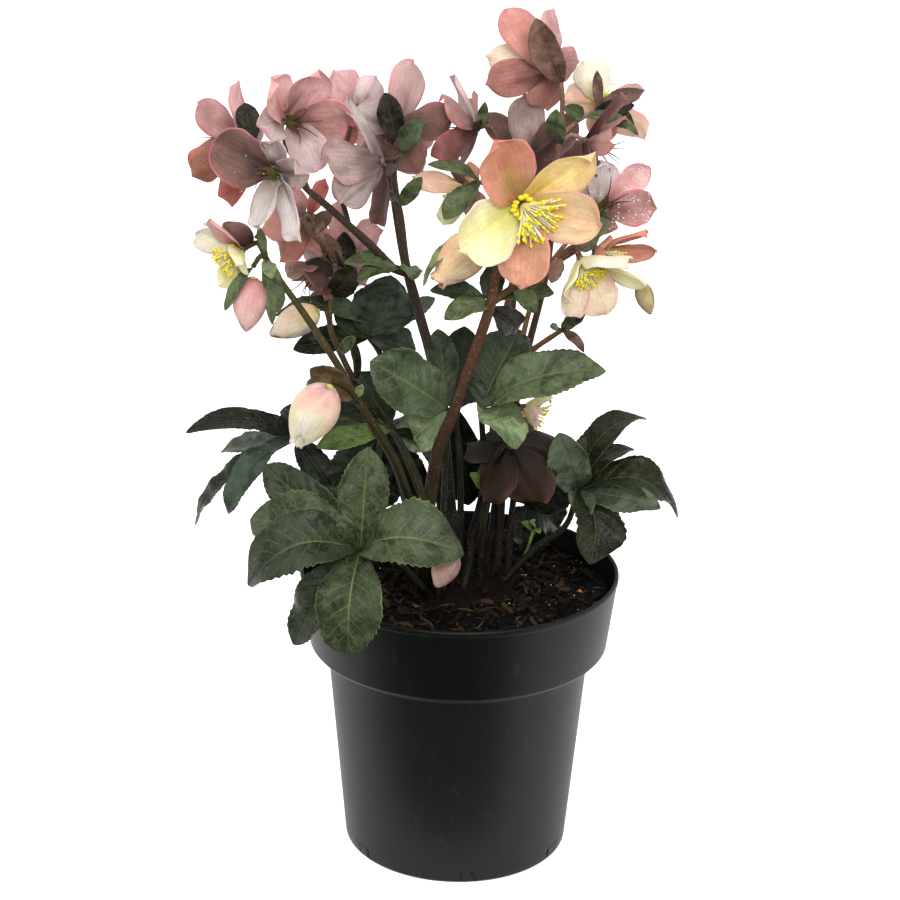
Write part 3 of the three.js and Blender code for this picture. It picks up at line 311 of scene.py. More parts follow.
# stem: routes [radius at the start, radius at the end, points, the flower it ends in]
STEMS = {
  "stem_a": [[4.3, 2.2,
      [[-14, -14, 160], [-19, -19, 182], [-20, -24, 202], [-18, -28, 225], [-14, -34, 254],
        [-6, -40, 279], [1, -45, 304], [7, -49, 324], [12, -52, 343], [14, -56, 359], [18, -58, 378]],
      "flower_10"],
    [2.3, 1.5, [[12, -52, 343], [24, -53, 352], [37, -54, 362], [47, -56, 369]], "flower_13"],
    [1.5, 1.2, [[37, -54, 362], [46, -48, 364], [56, -38, 367]], "flower_14"],
    [1.5, 1.4, [[15, -57, 365], [15, -58, 380], [10, -54, 383]], ""]],
  "stem_b": [[3.9, 1.5,
      [[-4, 6, 160], [-3, 2, 180], [-7, 2, 223], [-12, 4, 270], [-18, 6, 299], [-26, 4, 329],
        [-32, 2, 351], [-35, -2, 376], [-38, -5, 393], [-39, -8, 405], [-38, -12, 417]], "flower_06"],
    [2.6, 1.5,
      [[-31, 2, 345], [-41, -2, 350], [-48, -8, 360], [-63, -28, 379], [-75, -44, 394], [-84, -54, 404]],
      "flower_02"], [1.5, 1.2, [[-84, -54, 404], [-95, -46, 414], [-106, -38, 421]], "flower_01"],
    [1.5, 1.2, [[-84, -54, 404], [-90, -42, 414], [-98, -28, 427]], "flower_03"],
    [1.5, 1.2, [[-39, -8, 405], [-39, -24, 413], [-36, -40, 420]], "flower_05"],
    [1.5, 1.2, [[-63, -28, 379], [-68, -14, 398], [-64, 2, 420]], "flower_04"]],
  "stem_c": [[3.3, 1.4,
      [[-22, -18, 160], [-22, -30, 186], [-26, -37, 212], [-32, -42, 233], [-38, -46, 251],
        [-46, -49, 267], [-54, -51, 281], [-62, -52, 295], [-69, -51, 308], [-80, -48, 325],
        [-90, -44, 339], [-99, -40, 351], [-107, -37, 363], [-111, -33, 370]], "flower_18"],
    [1.5, 1.4, [[-59, -53, 288], [-63, -58, 297], [-71, -66, 304]], ""],
    [1.5, 1.3, [[-107, -37, 363], [-110, -41, 366], [-114, -45, 361]], ""],
    [1.2, 1.1, [[-107, -37, 363], [-109, -33, 371], [-113, -30, 374]], ""]],
  "stem_d": [[2.8, 1.3,
      [[-14, 8, 160], [-14, 6, 176], [-21, 5, 210], [-35, 2, 247], [-47, 0, 266], [-60, 0, 283],
        [-69, -2, 302], [-74, -3, 317], [-73, 2, 335], [-71, 8, 350]], "flower_21"],
    [1.3, 1.2, [[-74, -3, 317], [-76, -7, 326]], ""],
    [1.4, 1.2, [[-73, 2, 335], [-66, 12, 341]], "flower_20"],
    [1.4, 1.2, [[-71, 8, 350], [-76, -2, 360], [-84, -8, 370]], "flower_19"]],
  "stem_e": [[2.1, 1.2,
      [[22, 4, 160], [24, 8, 190], [25, 8, 221], [27, 4, 265], [31, 0, 295], [36, -6, 325],
        [41, -10, 341], [47, -12, 355], [60, -8, 370]], "flower_15"],
    [1.8, 1.4, [[31, 0, 295], [42, -12, 308], [53, -24, 320]], ""]],
  "stem_f": [[2.7, 1.2,
      [[16, 18, 160], [21, 20, 190], [23, 20, 223], [25, 18, 266], [27, 16, 302], [29, 14, 332],
        [27, 14, 361], [24, 16, 389], [21, 19, 408]], "flower_07"],
    [1.4, 1.2, [[25, 15, 385], [30, 6, 396]], "flower_08"],
    [1.4, 1.2, [[27, 14, 368], [18, 2, 386], [11, -8, 397]], "flower_12"]],
  "stem_g": [[2.8, 1.3,
      [[8, 30, 160], [16, 33, 190], [19, 32, 218], [21, 30, 262], [24, 28, 305], [32, 26, 346],
        [45, 22, 382], [50, 16, 405], [52, 8, 428], [51, 0, 446]], "flower_09"],
    [1.4, 1.2, [[50, 16, 405], [51, 4, 416]], "flower_16"],
    [1.4, 1.2, [[51, 12, 418], [60, 16, 426], [70, 20, 431]], "flower_17"]],
  "stem_h": [[2.5, 1.3,
      [[0, -22, 160], [5, -16, 179], [6, -14, 196], [9, -16, 209], [12, -22, 227], [16, -32, 245],
        [20, -42, 258]], "flower_22"]],
  "stem_j": [
    [2.5, 1.2, [[28, -2, 160], [29, 2, 190], [31, 4, 217], [30, 8, 240], [28, 10, 256]], "flower_11"]],
  "stem_k": [[3.0, 1.5,
      [[-8, 26, 160], [-10, 40, 220], [-12, 46, 257], [-18, 50, 287], [-27, 51, 318], [-33, 51, 343],
        [-37, 50, 366], [-40, 50, 385]], "flower_23"]],
  "stem_m": [
    [2.8, 1.5, [[18, 28, 160], [26, 44, 210], [40, 56, 280], [50, 58, 325], [54, 58, 362]], "flower_24"]]
}

# bracts that grow on a stem: base, tip, width, arch, facing of the upper side, kind
BRACTS = {
  "stem_a": [[[10, -48, 340], [-20, -44, 348], 13, 8, [-10, 50], "leaf"],
    [[10, -48, 342], [-13, -62, 337], 14, 9, [-20, 40], "green"],
    [[15, -50, 342], [46, -46, 347], 12, 5, [10, 50], "green"],
    [[24, -53, 352], [35, -64, 341], 10, 3, [10, 30], "green"],
    [[13, -48, 340], [28, -36, 323], 16, 3, [10, 20], "dark"],
    [[11, -50, 344], [16, -44, 364], 15, 2, [-30, 10], "leaf"],
    [[47, -56, 369], [42, -70, 359], 8, 1, [0, 10], "brown"],
    [[60, -38, 370], [74, -50, 386], 17, 3, [-10, 40], "pale"],
    [[10, -54, 382], [-24, -54, 353], 9, 12, [-30, 50], "pale"]],
  "stem_b": [[[-113, -31, 424], [-118, -22, 444], 13, 2, [0, 10], "dark"],
    [[-38, -12, 420], [-44, -14, 448], 14, 2, [0, 10], "dark"],
    [[-38, -12, 414], [-24, -12, 434], 12, 3, [10, 30], "leaf"],
    [[-38, -5, 383], [-43, -13, 396], 8, 2, [-30, 20], "green"],
    [[-38, -5, 383], [-24, -12, 402], 9, 3, [20, 30], "green"],
    [[-36, 0, 347], [-66, -14, 355], 13, 8, [-10, 50], "green"],
    [[-37, 0, 346], [-59, -20, 346], 13, 8, [-10, 50], "green"],
    [[-33, 0, 349], [-29, -16, 346], 12, 3, [20, 30], "green"]],
  "stem_c": [[[-114, -45, 362], [-129, -52, 339], 8, 4, [-30, 20], "green"],
    [[-107, -38, 362], [-101, -46, 336], 12, 3, [10, 20], "green"],
    [[-108, -40, 362], [-104, -48, 330], 7, 4, [10, 20], "green"],
    [[-108, -38, 363], [-104, -47, 355], 8, 3, [0, 30], "pale"],
    [[-107, -36, 365], [-111, -38, 381], 5, 1, [0, 10], "pale"],
    [[-61, -53, 290], [-84, -60, 309], 16, 3, [-20, 30], "tan"],
    [[-59, -53, 290], [-56, -56, 299], 5, 1, [0, 20], "pale"]],
  "stem_d": [[[-68, -2, 301], [-60, -9, 312], 7, 3, [0, 30], "green"],
    [[-60, 0, 283], [-62, -8, 311], 6, 3, [30, 10], "dark"],
    [[-66, 14, 345], [-80, 10, 367], 10, 2, [0, 20], "brown"],
    [[-66, 14, 345], [-66, 12, 366], 12, 2, [0, 10], "dark"],
    [[-84, -8, 371], [-73, -6, 382], 9, 2, [0, 20], "brown"],
    [[-73, 2, 333], [-60, -8, 351], 16, 3, [20, 20], "dark"],
    [[-72, 5, 342], [-87, -4, 353], 10, 2, [-10, 30], "dark"]],
  "stem_e": [[[53, -24, 320], [64, -46, 340], 8, 2, [0, 20], "green"],
    [[53, -24, 320], [57, -44, 333], 6, 1, [0, 20], "green"],
    [[53, -24, 320], [45, -38, 326], 6, 1, [-10, 30], "green"],
    [[53, -24, 320], [64, -36, 311], 6, 3, [10, 40], "brown"],
    [[66, -7, 376], [76, -22, 387], 9, 2, [10, 10], "green"]],
  "stem_f": [[[9, 19, 420], [5, 12, 427], 6, 1, [0, 20], "dark"],
    [[10, 18, 421], [11, 18, 437], 6, 1, [0, 10], "green"],
    [[31, 3, 400], [26, -4, 421], 13, 2, [-10, 20], "pale"],
    [[9, -7, 397], [-21, -12, 409], 8, 6, [-10, 50], "green"],
    [[8, -8, 396], [-12, -17, 380], 13, 4, [-20, 30], "green"]],
  "stem_g": [[[50, -3, 450], [35, -14, 487], 17, 4, [-20, 10], "brown"],
    [[52, 4, 416], [47, -14, 439], 12, 2, [-20, 20], "green"],
    [[72, 23, 432], [97, 18, 443], 10, 5, [10, 30], "brown"],
    [[72, 24, 433], [72, 24, 453], 6, 1, [0, 10], "brown"],
    [[70, 20, 430], [92, 14, 436], 9, 3, [10, 20], "dark"],
    [[70, 20, 430], [92, 12, 426], 11, 4, [10, 30], "dark"],
    [[66, 18, 428], [94, 8, 421], 9, 8, [10, 40], "green"],
    [[64, 18, 428], [54, 14, 435], 9, 2, [-20, 20], "green"]],
  "stem_h": [[[11, -20, 229], [4, -30, 239], 7, 2, [-10, 40], "bright"],
    [[12, -22, 230], [19, -34, 238], 7, 2, [0, 40], "bright"],
    [[12, -20, 228], [16, -34, 227], 8, 2, [0, 60], "bright"]]
}


# the young shoot: its stalk's points, and the tips of the leaflets at its end
SPROUT = [[(30, -2, 166), (38, -3, 180), (42, -5, 195)], [(35, -10, 202), (45, -14, 197), (39, -18, 206)]]


# ------------------------------------------------------------------ colours, in sRGB 0-255
# sepal: body, edge, foot (towards the middle of the flower, darker partly in the sepal's own colour and partly
# as painted shade), veins
SEPAL_TINTS = {
  "pink": ((208, 166, 164), (230, 136, 142), (128, 92, 84), (168, 116, 114)),
  "rosy": ((248, 196, 190), (246, 158, 164), (186, 128, 118), (214, 144, 140)),
  "rose": ((184, 143, 139), (218, 114, 118), (92, 64, 54), (136, 94, 88)),
  "brick": ((214, 152, 138), (230, 130, 128), (136, 92, 78), (170, 108, 98)),
  "ruddy": ((168, 116, 106), (208, 120, 116), (86, 58, 48), (120, 78, 70)),
  "mauve": ((192, 162, 158), (224, 136, 142), (106, 82, 76), (158, 124, 120)),
  "pale": ((224, 204, 201), (230, 160, 166), (142, 120, 110), (180, 148, 146)),
  "fawn": ((200, 166, 150), (222, 146, 142), (96, 72, 60), (146, 110, 96)),
  "olive": ((176, 120, 96), (206, 104, 100), (92, 70, 50), (124, 84, 66)),
  "sienna": ((136, 88, 68), (196, 94, 92), (66, 52, 36), (96, 64, 50)),
  "red": ((198, 110, 99), (214, 92, 94), (104, 58, 46), (130, 66, 58)),
  "dusk": ((122, 94, 87), (184, 106, 106), (44, 33, 28), (78, 58, 52)),
  "soot": ((94, 73, 63), (188, 106, 106), (32, 26, 20), (56, 43, 37)),
  "deep": ((84, 60, 54), (132, 80, 78), (32, 24, 20), (50, 35, 31)),
  "ash": ((170, 150, 144), (190, 138, 136), (52, 42, 36), (98, 82, 77)),
  "grey": ((184, 170, 165), (196, 142, 142), (66, 56, 49), (112, 98, 92)),
  "frost": ((216, 198, 194), (230, 158, 162), (96, 74, 70), (150, 112, 110)),
  "white": ((220, 210, 206), (224, 186, 186), (138, 128, 98), (172, 156, 150)),
  "wine": ((128, 84, 76), (174, 90, 88), (54, 36, 30), (82, 50, 45)),
  "coral": ((216, 154, 122), (230, 118, 118), (158, 150, 72), (180, 108, 88)),
  "gold": ((255, 226, 154), (246, 180, 140), (226, 202, 74), (230, 174, 100)),
  "shell": ((250, 208, 182), (244, 160, 150), (224, 190, 128), (224, 160, 138)),
  "apricot": ((255, 222, 172), (244, 158, 142), (224, 206, 104), (222, 152, 118)),
  "peach": ((208, 156, 124), (230, 142, 132), (160, 138, 74), (178, 112, 92)),
  "orange": ((208, 142, 110), (226, 124, 112), (156, 120, 68), (174, 104, 80)),
  "cream": ((246, 242, 178), (250, 238, 206), (222, 222, 112), (230, 212, 138)),
  "ivory": ((252, 246, 216), (250, 230, 208), (236, 230, 160), (240, 214, 180)),
  "blush": ((250, 234, 200), (244, 170, 170), (236, 230, 156), (232, 168, 150)),
  "maroon": ((42, 31, 21), (92, 62, 48), (18, 14, 9), (28, 20, 13)),
  "umber": ((32, 27, 18), (66, 48, 36), (14, 12, 8), (20, 16, 11)),
  "moss": ((196, 180, 134), (216, 160, 134), (138, 136, 80), (168, 142, 98)),
  "husk": ((140, 118, 84), (198, 138, 118), (98, 94, 54), (120, 96, 70)),
  "blushrose": ((253, 240, 196), (255, 250, 240), (240, 146, 148), (248, 206, 178)),
}
# tints of each flower's sepals, in the order of the FLOWERS table; they differ partly in the sepals' own
# colours and partly as painted light and shade, lighter tints for lit sepals and darker ones for shaded sepals
FLOWER_TINTS = {
  "flower_01": "red rose pink rose sienna",
  "flower_02": "white soot grey grey white",
  "flower_03": "pale rosy pink rose pale",
  "flower_04": "dusk pale pink rose red",
  "flower_05": "deep grey ash grey deep",
  "flower_06": "dusk dusk mauve grey dusk",
  "flower_07": "wine rose pale rose wine",
  "flower_08": "deep deep ash deep deep",
  "flower_09": "ruddy rose pink brick ruddy blush",
  "flower_10": "peach cream coral gold apricot",
  "flower_11": "ivory blush cream peach ivory",
  "flower_12": "rose coral dusk shell cream",
  "flower_13": "blush cream ivory cream blush",
  "flower_14": "coral orange coral coral peach",
  "flower_15": "dusk frost white rosy rose",
  "flower_16": "deep rose deep rose deep",
  "flower_17": "shell pink ivory shell peach",
  "flower_18": "cream ivory rosy cream ivory",
  "flower_19": "brick red rose brick olive",
  "flower_20": "pink pink pink mauve rose",
  "flower_21": "dusk fawn dusk deep dusk",
  "flower_22": "maroon umber umber umber maroon",
  "flower_23": "rose pink rose pink mauve",
  "flower_24": "deep deep deep deep deep",
}
# bud, by its name or its kind: its sepals from the outermost in, each a tint and a turn round the
# bud, and how far its tip gapes
BUD_TINTS = {
  "dark": ("dusk 0, deep 150, dusk 240, deep 70, dusk 310", 0.0),
  "pink": ("rosy 0, pink 150, rosy 240, pink 70, pink 310", 0.05),
  "cream": ("moss 20, blush 150, moss 250, ivory 70, cream 310", 0.05),
  "creamrose": ("blushrose 60, blushrose 300, ivory 0, cream 180, ivory 120", 0.30),
  "bud_05": ("fawn 20, blush 150, fawn 250, moss 70, moss 310", 0.05),
  "bud_03": ("blush 10, moss 130, blush 250, moss 70, husk 310", 0.10),
  "peach": ("apricot 20, cream 150, blush 290, cream 70, peach 230", 0.45),
}
# leaf and bract: upper side, underside, veins and margin; shaded, dark and black are leaf colours darkened as
# painted shade, and pine and fern are lightened as painted light
LEAF_TINTS = {
  "marble": ((72, 83, 60), (90, 97, 73), (148, 160, 86)),
  "shaded": ((54, 64, 47), (80, 88, 66), (126, 138, 80)),
  "grey": ((72, 80, 69), (90, 96, 82), (120, 128, 96)),
  "dark": ((22, 27, 17), (66, 74, 56), (84, 98, 60)),
  "black": ((20, 25, 16), (40, 44, 30), (96, 104, 66)),
  "olive": ((30, 38, 18), (84, 86, 60), (110, 112, 66)),
  "blue": ((98, 109, 88), (96, 106, 86), (130, 148, 104)),
  "slate": ((106, 115, 101), (98, 107, 90), (124, 136, 106)),
  "teal": ((68, 84, 67), (78, 90, 74), (96, 116, 84)),
  "mid": ((78, 92, 67), (94, 104, 76), (138, 154, 88)),
  "pine": ((132, 150, 108), (104, 114, 86), (164, 178, 112)),
  "fern": ((100, 115, 82), (98, 108, 80), (150, 164, 96)),
  "round": ((66, 77, 64), (80, 86, 68), (92, 104, 72)),
  "vivid": ((86, 106, 56), (100, 118, 68), (162, 196, 96)),
  "leaf": ((74, 84, 60), (112, 122, 92), (116, 138, 84)),
  "green": ((104, 116, 78), (118, 126, 92), (152, 166, 106)),
  "brown": ((136, 106, 92), (134, 106, 92), (156, 102, 90)),
  "tan": ((96, 82, 54), (104, 88, 66), (150, 110, 84)),
  "deep": ((46, 44, 34), (62, 55, 46), (110, 88, 80)),
  "pale": ((146, 156, 110), (146, 158, 120), (176, 186, 138)),
  "bright": ((112, 140, 66), (118, 142, 80), (150, 174, 92)),
}
# kinds of each leaf's leaflets, in the order of the LEAVES table; the last one repeats. One leaf's leaflets
# take lighter and darker kinds as painted light and shade.
LEAF_KINDS = {
  "leaf_front_left": "marble marble marble shaded marble shaded grey shaded",
  "leaf_left": "black slate teal olive dark dark",
  "leaf_right": "blue olive olive olive blue blue olive",
  "leaf_mid_left": "pine mid shaded",
  "leaf_mid_right": "shaded fern pine",
  "leaf_upper": "round round shaded mid blue olive",
  "leaf_bright": "vivid dark dark",
  "leaf_low_right": "dark",
  "leaf_back_left": "shaded shaded shaded shaded dark dark dark",
  "leaf_back_right": "shaded",
  "leaf_back_mid": "dark",
}
BRACT_KINDS = {"dark": "deep"}    # bract kinds whose leaf tint has another name
# stem: colour at the soil, darkened partly in its own colour and partly as painted shade under the leaves, and
# colour at the flowers
STEM_TINTS_AND_PAINTED_SHADE = {
  "stem_a": ((17, 13, 9), (116, 80, 58)),
  "stem_b": ((14, 11, 9), (78, 63, 53)),
  "stem_c": ((16, 14, 8), (84, 72, 38)),
  "stem_d": ((34, 28, 20), (110, 86, 64)),
  "stem_e": ((30, 22, 16), (170, 128, 92)),
  "stem_f": ((22, 17, 14), (112, 84, 68)),
  "stem_g": ((26, 19, 16), (160, 116, 100)),
  "stem_h": ((12, 10, 7), (84, 76, 46)),
  "stem_j": ((24, 17, 12), (96, 66, 54)),
  "stem_k": ((24, 18, 15), (100, 76, 62)),
  "stem_m": ((24, 18, 15), (110, 84, 66)),
}
# petiole: colour at its base, darkened partly in its own colour and partly as painted shade in the clump, and
# colour at its hub
PETIOLE_TINTS_AND_PAINTED_SHADE = ((10, 8, 6), (46, 46, 31))
POLLEN = (252, 234, 40)
FILAMENT = (255, 254, 232)
NECTARY = (244, 226, 52)
CARPEL = (116, 132, 52)
BOSS = (104, 84, 60)
POD = (92, 104, 46)
POD_STRIPE = (92, 46, 44)
STYLE = (92, 48, 50)
STYLE_TIP = (226, 206, 150)
BARK = ((31, 24, 17), (44, 34, 24), (23, 18, 13), (74, 54, 38), (15, 12, 9))
STRAW = (150, 132, 100)
GRAIN = ((238, 236, 222), (214, 190, 66), (226, 224, 200))
BEAD = (214, 142, 52)
POT_TINT = (13, 13, 12)
# the pot's body below the band is lighter than the band: a painted reflection of the bright floor
POT_BODY_PAINTED_REFLECTION = (27, 27, 24)
POT_DUST = (150, 142, 132)
MIX_TINT = (13, 10, 8)
BARK_FIBRES = (120, 96, 74)
CROWN_TINT = (20, 14, 11)
CROWN_STUB_TINT = (34, 23, 18)
SPROUT_TINT = (118, 148, 72)
LEAF_SPECKS = (206, 210, 190)
STEM_GREEN = (84, 84, 48)
STEM_SPECKS = (206, 178, 146)


# ------------------------------------------------------------------ small maths
def linear(colour, albedo=ALBEDO):
    """The linear albedo of a surface that looks like this sRGB colour, 0-255, in the scene's light."""
    c = np.asarray(colour, float) / 255
    return albedo * np.where(c <= 0.04045, c / 12.92, ((c + 0.055) / 1.055) ** 2.4)


def unit(v):
    """The vector, or each vector of an array, at length 1."""
    v = np.asarray(v, float)
    return v / np.maximum(np.linalg.norm(v, axis=-1, keepdims=True), 1e-9)


def direction(azimuth, elevation):
    """The unit vector that points that way."""
    a, e = math.radians(azimuth), math.radians(elevation)
    return np.array([math.sin(a) * math.cos(e), -math.cos(a) * math.cos(e), math.sin(e)])


def smooth(low, high, x):
    """0 at low, 1 at high, with an even start and end."""
    t = np.clip((np.asarray(x, float) - low) / (high - low), 0, 1)
    return t * t * (3 - 2 * t)


def blend(a, b, t):
    """a where t is 0, b where t is 1; t may be a grid of numbers, a and b colours."""
    t = np.asarray(t, float)[..., None]
    return np.asarray(a, float) * (1 - t) + np.asarray(b, float) * t


def turns(count):
    """Evenly spaced angles round a circle, in radians."""
    return np.linspace(0, 2 * math.pi, count, endpoint=False)


def circle(radius, z, turn):
    """A ring of points about Z; radius and z may change round it."""
    return np.column_stack(np.broadcast_arrays(radius * np.cos(turn), radius * np.sin(turn), z))


def sideways(axis):
    """A vector square to the axis."""
    return np.cross(axis, UP if abs(axis[2]) < 0.9 else np.array([1.0, 0, 0]))


def widest(profile):
    """The most that a half width profile reaches between 0 and 1."""
    return profile(np.linspace(0, 1, 200)).max()


def dice(name):
    """A random generator that depends only on the piece's name."""
    return np.random.default_rng([SEED, zlib.crc32(name.encode())])


def spline(points, step):
    """A smooth line through the points, with a point every step or so."""
    p = np.asarray(points, float)
    ends = np.vstack([2 * p[0] - p[1], p, 2 * p[-1] - p[-2]])
    line = []
    for k in range(len(p) - 1):
        a, b, c, d = ends[k:k + 4]
        count = max(2, int(np.linalg.norm(c - b) / step))
        t = (np.arange(count) / count)[:, None]
        line.append(0.5 * (2 * b + (c - a) * t + (2 * a - 5 * b + 4 * c - d) * t ** 2
                           + (3 * b - a - 3 * c + d) * t ** 3))
    line.append(p[-1:])
    return np.vstack(line)


def bezier(a, b, c, t):
    """Points from a to c on a curve that b draws towards itself, and the curve's direction there."""
    t = np.asarray(t, float)[:, None]
    point = a * (1 - t) ** 2 + 2 * b * t * (1 - t) + c * t ** 2
    tangent = unit(2 * (b - a) * (1 - t) + 2 * (c - b) * t)
    return point, tangent


# ------------------------------------------------------------------ meshes
def placed(name, data):
    """A new object in the scene."""
    made = bpy.data.objects.new(name, data)
    bpy.context.scene.collection.objects.link(made)
    return made


def plain_object(name, points, faces):
    """A new object with a mesh of these points, in metres."""
    mesh = bpy.data.meshes.new(name)
    mesh.from_pydata(np.asarray(points, float).tolist(), [], faces)
    return placed(name, mesh)


class Gather:
    """One piece's mesh in the making. Each point has a place in mm, a tint, a vein colour, and its
    place on its blade: across from -1 to 1, along from 0 to 1, and the blade's size, which is 1 for a
    sepal and a leaflet's length in decimetres. Round bodies have none, or only across and along."""

    def __init__(self):
        self.points, self.tints, self.veins, self.blades = [], [], [], []
        self.faces, self.slots = [], []
        self.count = 0

    def add(self, points, faces, slots, tint, vein=None, blade=None):
        n = len(points)
        tint = np.broadcast_to(tint, (n, 3))
        self.points.append(points)
        self.tints.append(tint)
        self.veins.append(tint if vein is None else np.broadcast_to(vein, (n, 3)))
        self.blades.append(np.zeros((n, 3)) if blade is None else blade)
        self.faces.extend(tuple(i + self.count for i in face) for face in faces)
        self.slots.extend([slots] * len(faces) if isinstance(slots, int) else slots)
        self.count += n

    def piece(self, name, materials, slot, nodes=()):
        """The finished object, riding on the root body and standing for the CAD nodes named."""
        mesh = bpy.data.meshes.new(name)
        mesh.from_pydata((np.vstack(self.points) * MM).tolist(), [], self.faces)
        for label, values in (("tint", self.tints), ("vein", self.veins)):
            rgba = np.ones((self.count, 4), np.float32)
            rgba[:, :3] = np.vstack(values)
            mesh.attributes.new(label, "FLOAT_COLOR", "POINT").data.foreach_set("color", rgba.ravel())
        blade = np.vstack(self.blades).astype(np.float32)
        mesh.attributes.new("blade", "FLOAT_VECTOR", "POINT").data.foreach_set("vector", blade.ravel())
        mesh.polygons.foreach_set("material_index", np.array(self.slots, np.int32))
        mesh.polygons.foreach_set("use_smooth", np.ones(len(self.faces), bool))
        for material in materials:
            mesh.materials.append(material)
        mesh.validate()
        mesh.update()
        made = placed(name, mesh)
        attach(made, "root")
        if nodes:
            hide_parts(*nodes)
        return made


def grid_faces(rows, cols, start=0, flip=False):
    """The faces of a grid of points that begins at number start."""
    faces = []
    for i in range(rows - 1):
        for j in range(cols - 1):
            a = start + i * cols + j
            face = (a, a + 1, a + cols + 1, a + cols)
            faces.append(face[::-1] if flip else face)
    return faces


def ring_faces(rows, sides):
    """The faces between rings of points, each ring joined to the next."""
    faces = []
    for k in range(rows - 1):
        for j in range(sides):
            a, b = k * sides + j, k * sides + (j + 1) % sides
            faces.append((a, b, b + sides, a + sides))
    return faces


def end_faces(rows, sides):
    """The two flat faces that close a pile of rings."""
    return [tuple(range(sides - 1, -1, -1)), tuple(range((rows - 1) * sides, rows * sides))]


def tip_faces(rows, sides):
    """The triangles that close a pile of rings at two more points, which follow the last ring."""
    first = rows * sides
    last = first + 1
    faces = []
    for j in range(sides):
        faces.append((first, (j + 1) % sides, j))
        faces.append((last, first - sides + j, first - sides + (j + 1) % sides))
    return faces


def sheet(gather, top, thickness, tint, under, vein, blade, slots=(0, 1)):
    """A closed thin blade: top is a grid of points, and its underside lies below it. The slots are the
    materials of its top and of the rest."""
    rows, cols = top.shape[:2]
    across = np.gradient(top, axis=1)
    along = np.gradient(top, axis=0)
    low = top - unit(np.cross(across, along)) * np.asarray(thickness)[..., None]
    total = rows * cols
    faces = grid_faces(rows, cols) + grid_faces(rows, cols, total, True)
    kinds = [slots[0]] * ((rows - 1) * (cols - 1)) + [slots[1]] * ((rows - 1) * (cols - 1))
    index = np.arange(total).reshape(rows, cols)
    loop = [*index[0], *index[1:, -1], *index[-1, -2::-1], *index[-2:0:-1, 0]]
    for a, b in zip(loop, loop[1:] + loop[:1]):
        faces.append((b, a, a + total, b + total))
        kinds.append(slots[1])
    both = np.concatenate([top.reshape(-1, 3), low.reshape(-1, 3)])
    tints = np.concatenate([np.broadcast_to(tint, top.shape).reshape(-1, 3),
                            np.broadcast_to(under, top.shape).reshape(-1, 3)])
    veins = np.tile(np.broadcast_to(vein, top.shape).reshape(-1, 3), (2, 1))
    gather.add(both, faces, kinds, tints, veins, np.tile(blade.reshape(-1, 3), (2, 1)))


def tube(gather, path, radius, sides, tint, slot=0, flat=1.0):
    """A closed tube along a path; radius and tint may change along it, flat squeezes it one way."""
    path = np.asarray(path, float)
    rows = len(path)
    radius = np.broadcast_to(radius, (rows,))
    tangent = unit(np.gradient(path, axis=0))
    side = sideways(tangent[0])
    turn = turns(sides)
    rings = []
    for k in range(rows):
        side = unit(side - tangent[k] * (side @ tangent[k]))
        other = np.cross(tangent[k], side)
        rings.append(path[k] + radius[k] * (np.outer(np.cos(turn), side)
                                            + flat * np.outer(np.sin(turn), other)))
    points = np.vstack(rings + [path[:1], path[-1:]])
    blade = np.zeros((len(points), 3))
    blade[:rows * sides, 0] = np.tile(np.cos(turn), rows)
    blade[:rows * sides, 1] = np.repeat(np.linspace(0, 1, rows), sides)
    tints = np.broadcast_to(tint, (rows, 3))
    spread = np.vstack([np.repeat(tints, sides, axis=0), tints[:1], tints[-1:]])
    gather.add(points, ring_faces(rows, sides) + tip_faces(rows, sides), slot, spread, None, blade)


def drop(gather, base, tip, width, tint, sides, rows, slot=0, flat=1.0):
    """A closed rounded body from base to tip, such as an anther, a grain or a water drop."""
    t = np.linspace(0, 1, rows)
    shape = np.sin(math.pi * (0.04 + 0.92 * t))
    tube(gather, blend(base, tip, t), shape * width / 2, sides, tint, slot, flat)


# ------------------------------------------------------------------ blades: sepals, leaflets, bracts
def blade_places(across, along, size):
    """Each point's place on its blade and the blade's size, as one grid."""
    return np.stack([across, along, np.full_like(along, size)], axis=-1)


def sepal_half_width(s):
    """How far a sepal reaches to each side, s of the way from its foot to its tip."""
    return 0.12 * (1 - s) + s ** 0.62 * (1 - s ** 2.7) ** 0.52


def sepal_colours(tint, s, t, rng):
    """Colour of each point of a sepal: its foot, body and edge, with soft uneven patches. The darker foot is
    partly the sepal's own colour and partly painted shade near the flower's middle.
    """
    body, edge, foot, vein = (linear(c, PETAL_ALBEDO) for c in SEPAL_TINTS[tint])
    wobble = 0.07 * np.sin(5 * s + 3 * t + rng.uniform(0, 6)) + 0.05 * np.sin(11 * s - 6 * t)
    outer = np.maximum(np.abs(t) ** 1.8 * smooth(0.05, 0.5, s), s ** 6) + wobble
    rim = 0.30 * smooth(0.45, 0.85, outer) + 0.70 * smooth(0.82, 0.98, outer)
    # Painted shade in part: towards the flower's middle the colour turns to the darker foot colour.
    low = smooth(0.68, 0.02, s + 1.4 * wobble + 0.16 * np.abs(t))
    patches = 0.5 + 0.5 * np.sin(4.1 * s + rng.uniform(0, 6)) * np.sin(3.3 * t + rng.uniform(0, 6))
    colour = blend(blend(body, edge, 0.95 * rim), foot, 0.95 * low)
    colour = blend(colour, edge, 0.18 * patches) * (0.93 + 0.12 * patches[..., None])
    bloom = smooth(-0.5, 0.5, np.sin(2.3 * t + 5.2 * s + rng.uniform(0, 6))) * smooth(0.15, 0.5, s)
    colour = colour * (0.90 + 0.20 * bloom[..., None])
    veins = blend(np.broadcast_to(vein, colour.shape), colour, 0.35 * rim)
    return np.minimum(colour * rng.uniform(0.95, 1.05), 0.92), veins


